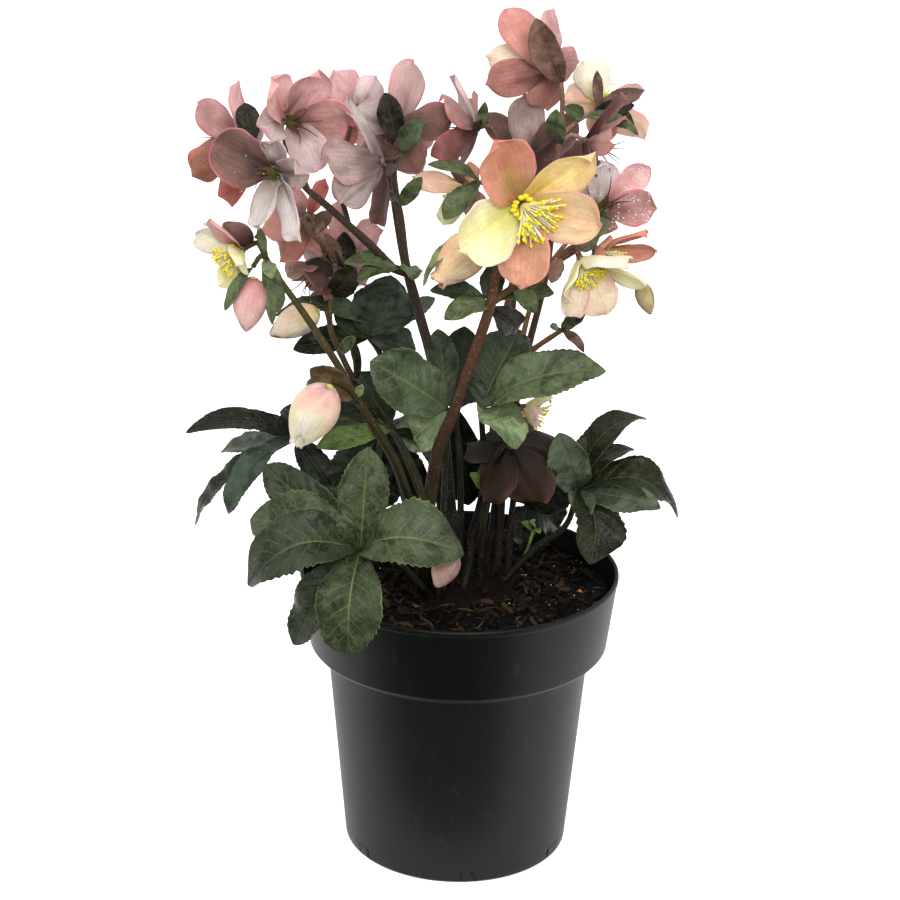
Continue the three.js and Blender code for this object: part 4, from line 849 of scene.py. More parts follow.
def sepal(gather, centre, facing, shape, tint, rng, lift):
    """One cupped, rippled sepal round a flower's middle; lift moves it towards the flower's front."""
    clock, length, width, cup, curl = shape
    n = direction(*facing)
    up = unit(UP - n * n[2])
    turn = math.radians(clock)
    out = up * math.cos(turn) + np.cross(up, n) * math.sin(turn)
    side = np.cross(out, n)
    s = np.sin(np.linspace(0, 1, SEPAL_ROWS) * math.pi / 2)
    t = np.linspace(-1, 1, SEPAL_COLS)
    angle = np.radians(cup + curl * s)
    step = np.diff(s, prepend=0) * length
    along = SEPAL_FOOT + np.cumsum(np.cos(angle) * step)
    rise = lift + np.cumsum(np.sin(angle) * step)
    normal = n * np.cos(angle)[:, None] - out * np.sin(angle)[:, None]
    half = width / 2 * np.maximum(sepal_half_width(s) / widest(sepal_half_width), 0.02)
    S, T = np.meshgrid(s, t, indexing="ij")
    phase = rng.uniform(0, 2 * math.pi, 8)
    pace = rng.uniform(0.75, 1.3, 8)
    rumple = SEPAL_RUMPLE.get(tint, 1.0)
    wave = (0.026 * length * S ** 2 * np.sin(1.7 * pace[0] * T + 2.6 * S + phase[0])
            + 0.040 * width * np.abs(T) ** 3 * np.sin(7 * pace[1] * S + phase[1] + np.sign(T) * phase[2])
            + 0.014 * width * np.abs(T) ** 2 * np.sin(15 * pace[2] * S + phase[3] + 2 * T)
            + 0.013 * width * np.sin(5.5 * pace[3] * T + 1.5 * np.sin(3 * S) + phase[4]) * smooth(0.1, 0.6, S)
            + 0.008 * width * np.sin(9.5 * pace[4] * T + 4 * S + phase[5]) * smooth(0.2, 0.8, S)
            - 0.05 * width * np.exp(-(T * 7) ** 2) * smooth(1, 0.2, S)) * rumple
    cupped = width * (SEPAL_CUP * T ** 2 - SEPAL_TWIST * T) * smooth(0, 0.25, S) + wave
    ragged = 1 + (0.030 * np.sin(9 * pace[5] * S + phase[6]) + 0.012 * np.sin(23 * S + phase[7])) * np.abs(T)
    notch = 0.020 * np.sin(2.3 * pace[6] * T + phase[5]) + 0.006 * np.sin(7 * pace[7] * T + phase[6])
    tip = length * (notch - 0.02 + 0.03 * np.exp(-(T * 3.2) ** 2)) * smooth(0.80, 1.0, S)
    top = (np.asarray(centre, float) + out * (along[:, None] + tip)[..., None] + n * rise[:, None, None]
           + side * (T * half[:, None] * ragged)[..., None] + normal[:, None, :] * cupped[..., None])
    colour, veins = sepal_colours(tint, S, T, rng)
    thickness = SEPAL_THICKNESS * (1 - 0.55 * np.maximum(np.abs(T), S ** 4))
    sheet(gather, top, thickness, colour, colour * 0.97, veins, blade_places(T, S, 1.0), (0, 0))
    return top


def crumple(x, y, rng):
    """An uneven surface in mm, made of waves of many lengths and headings."""
    height = 0
    for wavelength, size in CRUMPLES:
        for _ in range(3):
            turn, shift = rng.uniform(0, 2 * math.pi, 2)
            reach = 2 * math.pi / (wavelength * rng.uniform(0.8, 1.25))
            height = height + size * np.sin(reach * (x * math.cos(turn) + y * math.sin(turn)) + shift)
    return height


def leaflet_profile(s):
    """How far a leaflet reaches to each side, s of the way from its base to its tip."""
    return s ** 0.92 * (1 - s) ** 0.74


def leaflet(gather, base, shape, kind, rng, teeth=True, slots=(0, 1), rows=None):
    """A leaflet or bract: a folded, arched and gently puckered blade with a toothed margin."""
    tip, width, arch, facing = shape
    base, tip = np.asarray(base, float), np.asarray(tip, float)
    length = np.linalg.norm(tip - base)
    chord = unit(tip - base)
    face = direction(*facing)
    face = unit(face - chord * (face @ chord))
    rows = rows or int(np.clip(length / LEAF_ROW_STEP, LEAF_LEAST_ROWS, LEAF_MOST_ROWS))
    cols = LEAF_COLS if width > NARROW_LEAF else NARROW_LEAF_COLS
    x = np.linspace(0, 1, rows)
    s = x - 0.10 * np.sin(2 * math.pi * x) / (2 * math.pi)
    centre, tangent = bezier(base, (base + tip) / 2 + face * arch * LEAF_ARCH, tip, s)
    across = unit(np.cross(tangent, face))
    normal = np.cross(across, tangent)
    half = width / 2 * leaflet_profile(s) / widest(leaflet_profile)
    t = np.linspace(-1, 1, cols)
    S, T = np.meshgrid(s, t, indexing="ij")
    H = np.maximum(half, 0.35)[:, None] * np.ones_like(T)
    if teeth:
        count = max(4, round(length / TOOTH_LENGTH))
        saw = (S * count + 0.15 * np.sign(T)) % 1.0
        uneven = 1 + 0.6 * np.sin(9 * S + rng.uniform(0, 6))
        H = H * (1 + 0.085 * uneven * (saw - 0.5) * smooth(0.20, 0.40, S) * np.abs(T) ** 8)
        H = H * (1 + 0.05 * np.sin(7 * S + 2 * np.sign(T) + rng.uniform(0, 6)) * np.abs(T) ** 2)
    phase = rng.uniform(0, 2 * math.pi, 4)
    ribs = length / RIB_SPACING
    bent = S + 0.03 * np.sin(5 * S + phase[3]) + np.sign(T) * 0.02
    ribbed = np.cos(2 * math.pi * (bent - 0.24 * np.abs(T)) * ribs) * np.sin(math.pi * np.abs(T))
    pucker = 0.014 * width * ribbed + crumple(T * H, S * length, rng) * smooth(0.0, 0.25, np.abs(T))
    wave = (0.060 * width * np.sin(6 * S + 1.4 * T + phase[0]) * np.abs(T) ** 1.5
            + 0.055 * width * np.abs(T) ** 3 * np.sin(13 * S + phase[1] + np.sign(T) * phase[2]))
    fold = LEAF_FOLD * width / 2 * np.abs(T) - 0.03 * width * np.exp(-(T * 9) ** 2)
    height = (fold + wave + pucker) * smooth(0, 0.2, S) * smooth(1.02, 0.8, S)
    top = (centre[:, None, :] + across[:, None, :] * (T * H)[..., None]
           + normal[:, None, :] * height[..., None])
    upper, under, vein = (linear(c) for c in LEAF_TINTS[kind])
    shade = rng.uniform(0.88, 1.12)
    colour = np.broadcast_to(upper * shade, top.shape)
    thickness = LEAF_THICKNESS * (1 - 0.5 * np.abs(T)) + 0.5 * np.exp(-(T * 9) ** 2) * (1 - S)
    blade = blade_places(T, S, length / 100)
    sheet(gather, top, thickness, colour, np.broadcast_to(under * shade, top.shape), vein, blade, slots)


# ------------------------------------------------------------------ stems and leaves
def route_points(points, flower):
    """The points of a stalk; where it carries a flower, it goes on to the back of that flower."""
    points = [np.asarray(p, float) for p in points]
    if flower:
        centre, facing = FLOWERS[flower][:2]
        for back in STALK_BACKS:
            points.append(np.asarray(centre, float) - direction(*facing) * back)
    return points


def stem(name, materials):
    """A stem with its branches and the bracts that grow from its nodes."""
    rng = dice(name)
    gather = Gather()
    low, high = (linear(c) for c in STEM_TINTS_AND_PAINTED_SHADE[name])
    skeleton = []
    for first, last, points, flower in STEMS[name]:
        path = spline(route_points(points, flower), PATH_STEP)
        skeleton.append(path)
        s = np.linspace(0, 1, len(path))
        knots = 1 + 0.05 * np.sin(s * 17 + rng.uniform(0, 6)) + 0.10 * np.exp(-((s - 1) * 30) ** 2)
        # Painted shade in part: the stem turns to its dark soil colour towards the bottom, under the leaves.
        height = smooth(180, 420, path[:, 2])
        sides = 16 if first > 2 else 10
        tube(gather, path, (first + (last - first) * s) * knots, sides, blend(low, high, height))
    skeleton = np.vstack(skeleton)
    for base, *shape, kind in BRACTS.get(name, []):
        start = skeleton[np.argmin(np.linalg.norm(skeleton - base, axis=1))]
        leaflet(gather, start, shape, BRACT_KINDS.get(kind, kind), rng, shape[1] > 7, (1, 2))
    gather.piece(name, materials, "stem", [name])


def leaf(name, materials):
    """A petiole and the leaflets that spread from its end."""
    rng = dice(name)
    gather = Gather()
    petiole, hub, leaflets = LEAVES[name]
    path = spline([*petiole, hub], PATH_STEP)
    s = np.linspace(0, 1, len(path))
    low, high = (linear(c) for c in PETIOLE_TINTS_AND_PAINTED_SHADE)
    base_radius, end_radius = PETIOLE_RADII
    radius = base_radius + (end_radius - base_radius) * s
    # Painted shade in part: the petiole darkens towards its base in the clump.
    tube(gather, path, radius, 12, blend(low, high, s), 2)
    kinds = LEAF_KINDS[name].split()
    for k, shape in enumerate(leaflets):
        leaflet(gather, hub, shape, kinds[min(k, len(kinds) - 1)], rng)
    gather.piece(name, materials, "leaf", [name])


def sprout(material):
    """A young pale shoot low down in the clump, to the right of the main stem."""
    rng = dice("sprout")
    gather = Gather()
    route, tips = SPROUT
    for tip in tips:
        leaflet(gather, route[-1], (tip, 5, 1, (10, 40)), "bright", rng, False, (0, 0), 20)
    tube(gather, spline(route, 2), 0.9, 8, linear(SPROUT_TINT))
    gather.piece("sprout", [material], "leaf")


# ------------------------------------------------------------------ flowers
def spray(axis, count, spread, rng):
    """Headings spread evenly round an axis, out to spread degrees from it: each heading, the direction
    square to the axis in which it leans, and how far it leans, in radians."""
    axis = unit(axis)
    a = unit(sideways(axis))
    b = np.cross(axis, a)
    for k in range(count):
        lean = math.radians(spread) * math.sqrt((k + 0.5) / count) * rng.uniform(0.85, 1.1)
        turn = k * GOLDEN_ANGLE + rng.uniform(-0.15, 0.15)
        out = a * math.cos(turn) + b * math.sin(turn)
        yield axis * math.cos(lean) + out * math.sin(lean), out, lean


def curved(start, first, second, length, rows=7):
    """A thin stalk's path that leaves along first and ends up along second."""
    end = start + unit(first + 1.4 * second) * length
    point, _ = bezier(start, start + first * length * 0.5, end, np.linspace(0, 1, rows))
    return point


def stamens(gather, centre, n, axis, kind, rng):
    """The heart of an open flower, which faces n: stamens round axis, nectaries and carpels."""
    count, size, anther, spread = STAMENS[kind]
    filament, pollen, nectary = (linear(c, PETAL_ALBEDO) for c in (FILAMENT, POLLEN, NECTARY))
    for heading, out, _lean in spray(axis, count, spread, rng):
        start = centre + n * 1.5 + out * 1.6
        length = rng.uniform(13, 18.5) * size
        path = curved(start, unit(n + 0.6 * axis + 0.5 * out), heading, length)
        colours = blend(nectary, filament, np.linspace(0.3, 1, len(path)))
        tube(gather, path, np.linspace(0.48, 0.34, len(path)), 6, colours)
        end, way = path[-1], unit(path[-1] - path[-2] + rng.normal(0, 0.35, 3))
        shade = pollen * rng.uniform(0.85, 1.05)
        drop(gather, end - way * 1.2 * anther, end + way * 1.9 * anther, 2.0 * anther, shade, 7, 6, flat=0.8)
    count, spread, girths = NECTARIES
    for _heading, out, lean in spray(n, count, spread, rng):
        if lean < NECTARY_LEAST_LEAN:
            continue
        start = centre + n * 0.8 + out * 2.2
        aside = rng.normal(0, 0.25, 3)
        length = rng.uniform(4.5, 8) * size
        path = curved(start, unit(out + n), unit(out * 0.7 + n + aside), length, len(girths))
        tube(gather, path, np.array(girths) * size, 9, nectary, flat=0.65)
    count, spread, girths = CARPELS
    for heading, out, _lean in spray(axis, count, spread, rng):
        path = curved(centre + out * 0.7, n, heading, 11 * size, len(girths))
        tube(gather, path, np.array(girths) * size, 8, linear(CARPEL))


def pods(gather, centre, n, rng):
    """The ripening pods of an older flower, with their styles and the stubs of its stamens."""
    pod, stripe, style = linear(POD), linear(POD_STRIPE), linear(STYLE)
    count, spread, girths = PODS
    for heading, out, _lean in spray(n, count, spread, rng):
        start = centre + n * 0.8 + out * 1.5
        path = curved(start, n, heading, rng.uniform(10, 12.5), len(girths))
        tube(gather, path, np.array(girths), 10, blend(pod, stripe, POD_STRIPES), flat=0.72)
        way = unit(path[-1] - path[-2])
        end = curved(path[-1], way, unit(way + out * 0.9), rng.uniform(8, 11), 8)
        tube(gather, end, np.linspace(0.4, 0.22, 8), 6, style)
        drop(gather, end[-1] - way * 0.3, end[-1] + way * 0.5, 0.7, linear(STYLE_TIP), 6, 5)
    count, spread, girths = STUBS
    for _heading, out, _lean in spray(n, count, spread, rng):
        start = centre + n * 0.6 + out * 2.4
        path = curved(start, unit(n + out), unit(n + out), rng.uniform(1.6, 2.8), len(girths))
        tube(gather, path, np.array(girths), 6, linear(CARPEL))


def droplets(name, tops, material):
    """Water drops that sit on the upper side of a flower's sepals."""
    rng = dice(name)
    gather = Gather()
    for top in tops:
        rows, cols = top.shape[:2]
        across, along = np.gradient(top, axis=1), np.gradient(top, axis=0)
        normal = unit(np.cross(across, along))
        for _ in range(DROPS_A_SEPAL):
            i, j = rng.integers(4, rows - 3), rng.integers(1, cols - 1)
            place = top[i, j] + across[i, j] * rng.uniform(-0.5, 0.5)
            size = rng.uniform(0.30, 0.85)
            base, tip = place - normal[i, j] * 0.25 * size, place + normal[i, j] * 0.6 * size
            drop(gather, base, tip, 1.6 * size, WHITE[:3], 7, 5)
    gather.piece(name, [material], "petal_dusk")


def flower(name, materials):
    """A flower's sepals as one piece, its heart as another, and its drops where it is wet."""
    rng = dice(name)
    gather = Gather()
    centre, facing, kind, sepals = FLOWERS[name]
    centre = np.asarray(centre, float)
    n = direction(*facing)
    tops = []
    for shape, tint, lift in zip(sepals, FLOWER_TINTS[name].split(), SEPAL_LIFTS):
        tops.append(sepal(gather, centre, facing, shape, tint, rng, lift))
    slot = PETAL_SLOTS.get(kind, "petal_cream")
    gather.piece(name, [materials["sepal"]], slot, [name])
    heart = Gather()
    drop(heart, centre - n * 3.2, centre + n * 1.8, 5.2, linear(BOSS), 14, 8)
    axis = direction(*HEART_AXES[name]) if name in HEART_AXES else n
    if kind in STAMENS:
        stamens(heart, centre, n, axis, kind, rng)
    else:
        pods(heart, centre, n, rng)
    heart.piece(name + "_heart", [materials["organ"]], slot)
    if kind == "wet":
        droplets(name + "_droplets", tops, materials["water"])


# ------------------------------------------------------------------ buds
def bud(name, materials):
    """Overlapping sepals wrapped round an egg shape."""
    rng = dice(name)
    gather = Gather()
    base, tip, width, kind = BUDS[name]
    base, tip = np.asarray(base, float), np.asarray(tip, float)
    length = np.linalg.norm(tip - base)
    axis = unit(tip - base)
    front = np.array(BUD_FRONT)
    front = unit(front - axis * (front @ axis))
    side = np.cross(axis, front)
    tints, gape = BUD_TINTS[name if name in BUD_TINTS else kind]
    S, T = np.meshgrid(np.linspace(0.02, 1, BUD_ROWS), np.linspace(-1, 1, BUD_COLS), indexing="ij")
    round_part = np.sin(math.pi * np.clip(S, 0, 1) ** 0.82) ** 0.62
    belly = np.maximum(round_part, gape * smooth(0.5, 1, S))
    for k, entry in enumerate(tints.split(", ")):
        tint, turn = entry.split()
        size = 1 - BUD_STEP * k
        spread = math.radians(BUD_WRAP) * np.sqrt(np.sin(math.pi * np.clip(0.12 + 0.80 * S, 0, 1)))
        angle = math.radians(int(turn) + rng.uniform(-8, 8)) + T * spread
        radius = width / 2 * belly * size * (1 + 0.035 * T)
        place = length * S * (0.96 + 0.04 * size) + 0.03 * length * np.cos(2.5 * T) * smooth(0.7, 1, S)
        top = (base + axis * place[..., None] + front * (radius * np.cos(angle))[..., None]
               + side * (radius * np.sin(angle))[..., None])
        colour, veins = sepal_colours(tint, S, T, rng)
        blade = blade_places(T, S, 1.0)
        top, colour, veins, blade = (grid[:, ::-1] for grid in (top, colour, veins, blade))
        sheet(gather, top, np.full_like(S, BUD_THICKNESS), colour, colour, veins, blade, (0, 0))
    core = linear(SEPAL_TINTS["cream"][2])
    drop(gather, base - axis * 0.8, base + axis * (0.6 * length), 0.62 * width, core, 12, 9, 1)
    slot = BUD_SLOTS.get(kind, "petal_cream")
    gather.piece(name, [materials["sepal"], materials["organ"]], slot, [name])


# ------------------------------------------------------------------ pot, mix, crown
def lathe(gather, outline, sides, tint):
    """A round body about Z from an outline of [radius, height] points that starts and ends on the axis."""
    outline = np.asarray(outline, float)
    rings = [circle(r, z, turns(sides)) for r, z in outline[1:-1]]
    points = np.vstack(rings + [[[0, 0, outline[0, 1]]], [[0, 0, outline[-1, 1]]]])
    gather.add(points, ring_faces(len(rings), sides) + tip_faces(len(rings), sides), 0, tint)


def rounded(outline, radii, steps=4):
    """The outline with its corners rounded, each by its own radius."""
    outline = np.asarray(outline, float)
    made = [outline[0]]
    for before, corner, after, radius in zip(outline, outline[1:], outline[2:], radii):
        a, b = before - corner, after - corner
        reach = min(radius, 0.45 * np.linalg.norm(a), 0.45 * np.linalg.norm(b))
        start, end = corner + unit(a) * reach, corner + unit(b) * reach
        t = np.linspace(0, 1, steps)[:, None]
        made.extend(start * (1 - t) ** 2 + 2 * corner * t * (1 - t) + end * t ** 2)
    made.append(outline[-1])
    return np.array(made)


def cut(piece, tools, colour):
    """Cuts the tools out of the piece for good, removes them, and gives all its points the colour."""
    for tool in tools:
        modifier = piece.modifiers.new("cut", "BOOLEAN")
        modifier.operation, modifier.solver, modifier.object = "DIFFERENCE", "EXACT", tool
    bpy.context.view_layer.update()
    graph = bpy.context.evaluated_depsgraph_get()
    mesh = bpy.data.meshes.new_from_object(piece.evaluated_get(graph))
    piece.modifiers.clear()
    piece.data = mesh
    mesh.set_sharp_from_angle(angle=math.radians(POT_SHARP_ANGLE))
    tint = np.tile(np.array([*colour, 1.0], np.float32), len(mesh.vertices))
    mesh.attributes["tint"].data.foreach_set("color", tint)
    for tool in tools:
        bpy.data.objects.remove(tool)


def pot_outline():
    """From the middle of the pot's base, up the outside, over the rim and down the inside to its floor."""
    side = blend((FOOT_RADIUS, 1.5), (BODY_TOP_RADIUS, BODY_TOP_Z), (0, 0.06, 0.08, 0.3, 0.5, 0.7, 0.9, 1))
    return [
        (0, 0), (FOOT_RADIUS - 1.5, 0), (FOOT_RADIUS, 1.5), *side[1:-1], (BODY_TOP_RADIUS, BODY_TOP_Z),
        (BODY_TOP_RADIUS + 3, BODY_TOP_Z + 2.5), (BAND_BOTTOM_RADIUS - 2, BODY_TOP_Z + 4.5),
        (BAND_BOTTOM_RADIUS, BAND_BOTTOM_Z), (RIM_RADIUS - 0.5, POT_HEIGHT - 3.4),
        (RIM_RADIUS, POT_HEIGHT - 2.8), (RIM_RADIUS, POT_HEIGHT), (RIM_RADIUS - WALL - 0.4, POT_HEIGHT),
        (RIM_RADIUS - WALL - 0.6, POT_HEIGHT - 4), (BAND_BOTTOM_RADIUS - WALL, BAND_BOTTOM_Z + 1.5),
        (BODY_TOP_RADIUS - WALL, BODY_TOP_Z + 3), (FOOT_RADIUS - WALL + 1, FOOT_WALL_TOP),
        (FOOT_RADIUS - FOOT_WALL, FOOT_WALL_TOP - 2), (FOOT_RADIUS - FOOT_WALL, FLOOR), (0, FLOOR)]


def drain(out, side):
    """The tool for a round hole through the pot's floor, in the direction out from its middle."""
    turn = turns(DRAIN_SIDES)
    around = np.outer(np.cos(turn), out) + np.outer(np.sin(turn), side)
    edge = out * DRAIN_RING + DRAIN_RADIUS * around
    points = np.vstack([edge - UP * FLOOR, edge + UP * 2 * FLOOR])
    return plain_object("drain", points * MM, end_faces(2, DRAIN_SIDES) + ring_faces(2, DRAIN_SIDES))


def notch(out, side, low, high):
    """The tool for half of a foot notch, from low to high along side; its outer end slants inwards."""
    slant = NOTCH_SLANT * NOTCH_WIDTH
    top = (low + (slant if low < -1 else 0), high - (slant if high > 1 else 0))
    near, far = out * (FOOT_RADIUS - NOTCH_DEPTH), out * (FOOT_RADIUS + 6)
    corners = [p + side * x + UP * z for p in (near, far)
               for x, z in ((low, -2), (high, -2), (top[1], NOTCH_HEIGHT), (top[0], NOTCH_HEIGHT))]
    faces = [(0, 1, 2, 3), (7, 6, 5, 4), (0, 4, 5, 1), (1, 5, 6, 2), (2, 6, 7, 3), (3, 7, 4, 0)]
    return plain_object("notch", np.array(corners) * MM, faces)


def pot(material):
    gather = Gather()
    outline = pot_outline()
    radii = [BAND_ROUNDING if z == BAND_BOTTOM_Z else ROUNDING for _r, z in outline[1:-1]]
    lathe(gather, rounded(outline, radii), POT_SIDES, linear(POT_TINT))
    made = gather.piece("pot_shell", [material], "pot", ["pot"])
    tools = []
    for k in range(DRAIN_COUNT):
        turn = 2 * math.pi * k / DRAIN_COUNT - math.pi / 2
        out = np.array([math.cos(turn), math.sin(turn), 0])
        side = np.array([-math.sin(turn), math.cos(turn), 0])
        tools.append(drain(out, side))
        tools.append(notch(out, side, -NOTCH_WIDTH / 2, -NOTCH_RIB / 2))
        tools.append(notch(out, side, NOTCH_RIB / 2, NOTCH_WIDTH / 2))
    cut(made, tools, linear(POT_TINT))


def mix_height(x, y):
    """Height of the mix: domed, and uneven at the size of bark pieces."""
    r = np.hypot(x, y)
    dome = MIX_TOP_Z + (MIX_EDGE_Z - MIX_TOP_Z) * smooth(CROWN_RADIUS + 6, MIX_RADIUS, r)
    rough = (0.9 * np.sin(x * 0.31 + 1.3 * np.sin(y * 0.17)) * np.sin(y * 0.27 + 0.7)
             + 0.6 * np.sin(x * 0.83 + y * 0.41) * np.sin(y * 0.71 - x * 0.23 + 1.1)
             + 0.35 * np.sin(x * 1.9 + 2) * np.sin(y * 1.7 + x * 0.6))
    return dome - 0.6 + rough * smooth(MIX_RADIUS, MIX_RADIUS - 6, r)


def mix_body(material):
    """The bed of mix: the pot's inside a little smaller, closed by the uneven top."""
    below = [
        (0.6, FLOOR + 0.5), (FOOT_RADIUS - FOOT_WALL - 0.5, FLOOR + 0.5),
        (FOOT_RADIUS - FOOT_WALL - 0.5, FOOT_WALL_TOP - 1.5), (FOOT_RADIUS - WALL + 0.25, FOOT_WALL_TOP + 1.5),
        (BODY_TOP_RADIUS - WALL - 0.75, BODY_TOP_Z + 3.5), (BAND_BOTTOM_RADIUS - WALL - 1, BAND_BOTTOM_Z + 2.5)]
    turn = turns(MIX_SIDES)
    rings = [circle(r, z, turn) for r, z in below]
    for r in np.linspace(MIX_RADIUS, 0.6, MIX_RINGS):
        rings.append(circle(r, mix_height(r * np.cos(turn), r * np.sin(turn)), turn))
    gather = Gather()
    faces = ring_faces(len(rings), MIX_SIDES) + end_faces(len(rings), MIX_SIDES)
    gather.add(np.vstack(rings), faces, 0, linear(MIX_TINT))
    gather.piece("potting_mix_bed", [material], "potting_mix", ["potting_mix"])


def scatter_place(rng, inner=0.0):
    """A random point of the mix's top, at least inner from its middle."""
    r = math.sqrt(rng.uniform(inner ** 2, (MIX_RADIUS - 3) ** 2))
    a = rng.uniform(0, 2 * math.pi)
    return np.array([r * math.cos(a), r * math.sin(a)])


def splinter(gather, low, high, rng):
    """One rough closed splinter of bark, low to high mm long, lying on the mix."""
    x, y = scatter_place(rng)
    length = rng.uniform(low, high)
    wide = length * rng.uniform(0.18, 0.5)
    thick = length * rng.uniform(0.10, 0.30)
    heading = unit(np.array([*rng.normal(0, 1, 2), rng.normal(0, 0.25)]))
    side = unit(np.cross(heading, UP + rng.normal(0, 0.35, 3)))
    up = np.cross(side, heading)
    centre = np.array([x, y, mix_height(x, y) + rng.uniform(-0.2, 0.45) * wide + 0.1])
    away, limit = np.hypot(x, y), MIX_RADIUS - 0.5
    if away + length / 2 > limit:
        centre[:2] *= (limit - length / 2) / away
    section = np.array(SPLINTER_SECTION)
    rows = []
    for at, girth in SPLINTER_GIRTHS:
        bend = up * (0.06 * length * math.cos(3 * at)) + side * rng.normal(0, 0.03) * length
        jag = section * rng.uniform(0.75, 1.2, section.shape) * girth
        rows.append(centre + heading * at * length + bend + np.outer(jag[:, 0], side) * wide / 2
                    + np.outer(jag[:, 1], up) * thick / 2)
    faces = end_faces(len(rows), len(section)) + ring_faces(len(rows), len(section))
    tint = linear(BARK[rng.integers(len(BARK))]) * rng.uniform(0.6, 1.25)
    gather.add(np.vstack(rows), faces, 0, tint)


def chips(name, count, low, high, material):
    """Many splinters as one piece."""
    rng = dice(name)
    gather = Gather()
    for _ in range(count):
        splinter(gather, low, high, rng)
    gather.piece(name, [material], "potting_mix")


def litter(material):
    """Straws, pale grains and one orange bead of fertiliser on the mix."""
    name = "potting_mix_litter"
    rng = dice(name)
    gather = Gather()
    straw = linear(STRAW)
    for _ in range(STRAW_COUNT):
        x, y = scatter_place(rng, CROWN_RADIUS * 0.6)
        heading = unit(np.array([*rng.normal(0, 1, 2), rng.normal(0, 0.15)]))
        length = rng.uniform(4, 15)
        start = np.array([x, y, mix_height(x, y) + 1.6])
        end = start + heading * length
        if np.hypot(*end[:2]) > MIX_RADIUS - 3:
            continue
        middle = (start + end) / 2 + np.array([0, 0, 0.5]) + rng.normal(0, 0.4, 3)
        end[2] = mix_height(end[0], end[1]) + 1.2
        path, _tangent = bezier(start, middle, end, np.linspace(0, 1, 8))
        tube(gather, path, rng.uniform(0.10, 0.28), 6, straw * rng.uniform(0.15, 0.9))
    for k in range(GRAIN_COUNT):
        x, y = scatter_place(rng, CROWN_RADIUS * 0.6)
        size = rng.uniform(0.4, 1.2)
        base = np.array([x, y, mix_height(x, y) + 0.5])
        tint = linear(GRAIN[k % len(GRAIN)]) * rng.uniform(0.15, 1) ** 1.5
        drop(gather, base, base + UP * size, size, tint, 8, 6)
    base = np.array([*BEAD_PLACE, mix_height(*BEAD_PLACE) + 0.6])
    drop(gather, base, base + UP * BEAD_WIDTH, BEAD_WIDTH, linear(BEAD), 14, 10)
    gather.piece(name, [material], "potting_mix")


def crown(material):
    """The woody crown: a knobbly dome with the stubs of old stems."""
    rng = dice("crown")
    gather = Gather()
    turn = turns(CROWN_SIDES)
    rings = []
    for t in np.linspace(0, 1, CROWN_RINGS):
        r = CROWN_RADIUS * math.cos(t * math.pi / 2) ** 0.8 if t < 1 else 0.5
        lump = 1 + 0.05 * np.sin(5 * turn + 4 * t) + 0.04 * np.sin(11 * turn - 7 * t)
        z = MIX_TOP_Z - 1.0 + (CROWN_HEIGHT + 1.0) * t ** 0.8 + 0.5 * np.sin(7 * turn + 9 * t) * (1 - t)
        rings.append(circle(r * lump, z, turn))
    faces = end_faces(CROWN_RINGS, CROWN_SIDES) + ring_faces(CROWN_RINGS, CROWN_SIDES)
    gather.add(np.vstack(rings), faces, 0, linear(CROWN_TINT))
    for _ in range(CROWN_STUBS):
        r, a = CROWN_RADIUS * math.sqrt(rng.uniform(0.02, 0.85)), rng.uniform(0, 2 * math.pi)
        base = np.array([r * math.cos(a), r * math.sin(a), MIX_TOP_Z + 0.5])
        lean = unit(np.array([math.cos(a) * 0.5, math.sin(a) * 0.5, 1]) + rng.normal(0, 0.3, 3))
        path = spline([base, base + lean * 6, base + lean * 11 + rng.normal(0, 1.2, 3)], 2)
        size = rng.uniform(1.0, 2.2)
        colour = linear(CROWN_STUB_TINT) * rng.uniform(0.6, 1.3)
        tube(gather, path, np.linspace(size, size * 0.7, len(path)), 9, colour)
    gather.piece("crown_stock", [material], "crown", ["crown"])


# ------------------------------------------------------------------ materials
class Nodes:
    """Adds nodes to a tree; the methods that add one return the socket that carries its result."""

    def __init__(self, tree):
        self.tree = tree

    def put(self, socket, value):
        """Links the socket to another one, or sets its value."""
        if isinstance(value, bpy.types.NodeSocket):
            self.tree.links.new(value, socket)
        else:
            socket.default_value = value

    def node(self, kind, values=(), **settings):
        """The outputs of a new node; values go to its inputs, each by its name or number."""
        made = self.tree.nodes.new("ShaderNode" + kind)
        for key, value in settings.items():
            setattr(made, key, value)
        for key, value in dict(values).items():
            self.put(made.inputs[key], value)
        return made.outputs

    def split(self, value):
        return self.node("SeparateXYZ", {0: value})[:]

    def math(self, operation, *values):
        return self.node("Math", enumerate(values), operation=operation)[0]

    def times(self, value, *others):
        for other in others:
            value = self.math("MULTIPLY", value, other)
        return value

    def plus(self, a, b):
        return self.math("ADD", a, b)

    def most(self, a, b):
        return self.math("MAXIMUM", a, b)

    def fit(self, value, scale, offset):
        """The value times scale, plus offset."""
        return self.math("MULTIPLY_ADD", value, scale, offset)

    def ramp(self, value, low, high, at_low=0.0, at_high=1.0):
        """at_low up to low, at_high from high on, smooth between; low may be above high."""
        if low > high:
            low, high, at_low, at_high = high, low, at_high, at_low
        keys = ("Value", "From Min", "From Max", "To Min", "To Max")
        values = zip(keys, (value, low, high, at_low, at_high))
        return self.node("MapRange", values, interpolation_type="SMOOTHSTEP")[0]

    def lines(self, value, width):
        """1 where the value is a whole number, falling to 0 at width from it."""
        return self.ramp(self.math("PINGPONG", value, 0.5), width, 0.0)


